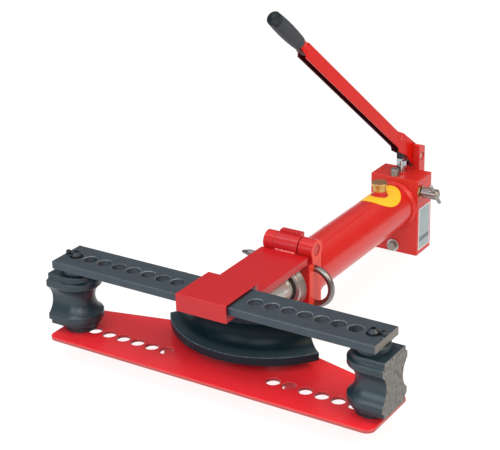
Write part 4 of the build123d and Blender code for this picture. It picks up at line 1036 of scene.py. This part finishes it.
def makeWeldTree():
    sizes = {"Pitch": "Float", "Radius": "Float", "Ripple": "Float", "Unevenness": "Float", "Seed": "Int"}
    tree, given = startTree("weldBead", sizes)
    path = addNode(tree, "GeometryNodeMeshToCurve", {"Mesh": given["Geometry"]})
    steps = addNode(
        tree, "GeometryNodeResampleCurve", {"Curve": path.outputs[0], "Length": given["Pitch"]}, mode="LENGTH"
    )
    drop = addNode(
        tree,
        "GeometryNodeMeshUVSphere",
        {"Segments": weld["dropSegments"], "Rings": weld["dropRings"], "Radius": given["Radius"]},
    )
    squat = addNode(
        tree,
        "GeometryNodeTransform",
        {
            "Geometry": drop.outputs["Mesh"],
            "Scale": addNode(
                tree, "ShaderNodeCombineXYZ", {"X": given["Ripple"], "Y": 1.0, "Z": 1.0}
            ).outputs[0],
        },
    )
    tangent = addNode(tree, "GeometryNodeInputTangent")
    facing = addNode(tree, "FunctionNodeAlignRotationToVector", {"Vector": tangent.outputs[0]}, axis="X")
    least = addNode(tree, "ShaderNodeMath", {0: 1.0, 1: given["Unevenness"]}, operation="SUBTRACT")
    most = addNode(tree, "ShaderNodeMath", {0: 1.0, 1: given["Unevenness"]}, operation="ADD")
    size = addNode(
        tree,
        "FunctionNodeRandomValue",
        {2: least.outputs[0], 3: most.outputs[0], "Seed": given["Seed"]},
        data_type="FLOAT",
    )
    ripples = addNode(
        tree,
        "GeometryNodeInstanceOnPoints",
        {
            "Points": steps.outputs[0],
            "Instance": squat.outputs[0],
            "Rotation": facing.outputs[0],
            "Scale": size.outputs[1],
        },
    )
    smooth = addNode(tree, "GeometryNodeSetShadeSmooth", {"Geometry": ripples.outputs[0]})
    return endTree(tree, smooth.outputs[0], given["Material"])


# Lays beads along several seams, each a list of points, as one mesh
def layWelds(tree, name, body, material, seams):
    points = [point for seam in seams for point in seam]
    edges = []
    for seam in seams:
        first = edges[-1][1] + 1 if edges else 0
        edges += [(first + n, first + n + 1) for n in range(len(seam) - 1)]
    values = {
        "Pitch": weld["pitch"],
        "Radius": weld["radius"],
        "Ripple": weld["ripple"],
        "Unevenness": weld["unevenness"],
        "Seed": weld["seed"],
        "Material": material,
    }
    addPiece(name, runTree(tree, name, values, points, edges), material, body)


def addWelds():
    tree = makeWeldTree()
    inset = 2 * weld["radius"]
    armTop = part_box("cross_bar")[0].z
    pinLow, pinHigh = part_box("hinge_pin")
    knuckleY = (pinLow.y + pinHigh.y) / 2
    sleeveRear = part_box("bar_sleeve")[1].y
    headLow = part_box("frame_head")[0]
    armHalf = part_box("upper_arm")[1].x
    neckRadius = (neckHigh.x - neckLow.x) / 2 + weld["neckGap"]
    neckRing = []
    for step in range(weld["ringPoints"] + 1):
        turn = math.tau * step / weld["ringPoints"]
        across = math.sin(turn) * neckRadius
        arc = math.asin(across / tube["radius"]) * tube["radius"]
        neckRing.append(onTube(neckY + math.cos(turn) * neckRadius, arc, 0))
    creaseY = knuckleY - math.sqrt(hinge["radius"] ** 2 - (hinge["height"] - armTop) ** 2)
    creaseEnds = (hinge["centreLeft"] + inset, hinge["centreRight"] - inset)
    layWelds(tree, "arm_welds", "wing_arm", weldHighlightEnamel, [
        [Vector((x, creaseY, armTop)) for x in creaseEnds],
        [Vector((x, sleeveRear, armTop)) for x in (inset - armHalf, armHalf - inset)],
    ])
    layWelds(tree, "frame_welds", "frame", redEnamel, [
        [Vector((x, headLow.y, headLow.z)) for x in (headLow.x + inset, -headLow.x - inset)],
        neckRing,
    ])


addWelds()
print("welds laid")

# Return spring round the ram, inside the cylinder: a fixed coil in the spring part's box; the real spring
# shortens as the ram goes out
returnSpring = {"turns": 11, "wire": 6.0 * mm, "coilSteps": 36, "wireSteps": 12}


def makeSpringTree():
    tree, given = startTree("coilSpring", {
        "Turns": "Float", "Radius": "Float", "Length": "Float", "Wire": "Float",
        "Coil Steps": "Int", "Wire Steps": "Int", "Place": "Vector",
    })
    coil = addNode(
        tree,
        "GeometryNodeCurveSpiral",
        {
            "Resolution": given["Coil Steps"],
            "Rotations": given["Turns"],
            "Start Radius": given["Radius"],
            "End Radius": given["Radius"],
            "Height": given["Length"],
        },
    )
    half = addNode(tree, "ShaderNodeMath", {0: given["Wire"], 1: 0.5}, operation="MULTIPLY")
    section = addNode(
        tree,
        "GeometryNodeCurvePrimitiveCircle",
        {"Resolution": given["Wire Steps"], "Radius": half.outputs[0]},
    )
    wire = addNode(
        tree,
        "GeometryNodeCurveToMesh",
        {"Curve": coil.outputs[0], "Profile Curve": section.outputs[0], "Fill Caps": True},
    )
    lying = addNode(
        tree,
        "GeometryNodeTransform",
        {"Geometry": wire.outputs[0], "Rotation": (-math.pi / 2, 0, 0), "Translation": given["Place"]},
    )
    smooth = addNode(tree, "GeometryNodeSetShadeSmooth", {"Geometry": lying.outputs[0]})
    return endTree(tree, smooth.outputs[0], given["Material"])


def addReturnSpring():
    low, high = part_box("return_spring")
    wire = returnSpring["wire"]
    values = {
        "Turns": returnSpring["turns"],
        "Radius": (high.x - low.x - wire) / 2,
        "Length": high.y - low.y - wire,
        "Wire": wire,
        "Coil Steps": returnSpring["coilSteps"],
        "Wire Steps": returnSpring["wireSteps"],
        "Place": Vector((0, low.y + wire / 2, tube["axis"])),
        "Material": turnedSteel,
    }
    mesh = runTree(makeSpringTree(), "spring_coil", values, [Vector()], [])
    form = bmesh.new()
    form.from_mesh(mesh)
    bmesh.ops.recalc_face_normals(form, faces=form.faces)
    form.to_mesh(mesh)
    form.free()
    coil = addPiece("spring_coil", mesh, turnedSteel, "frame")
    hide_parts("return_spring")
    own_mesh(coil)


addReturnSpring()
print("return spring coiled")

print("done")
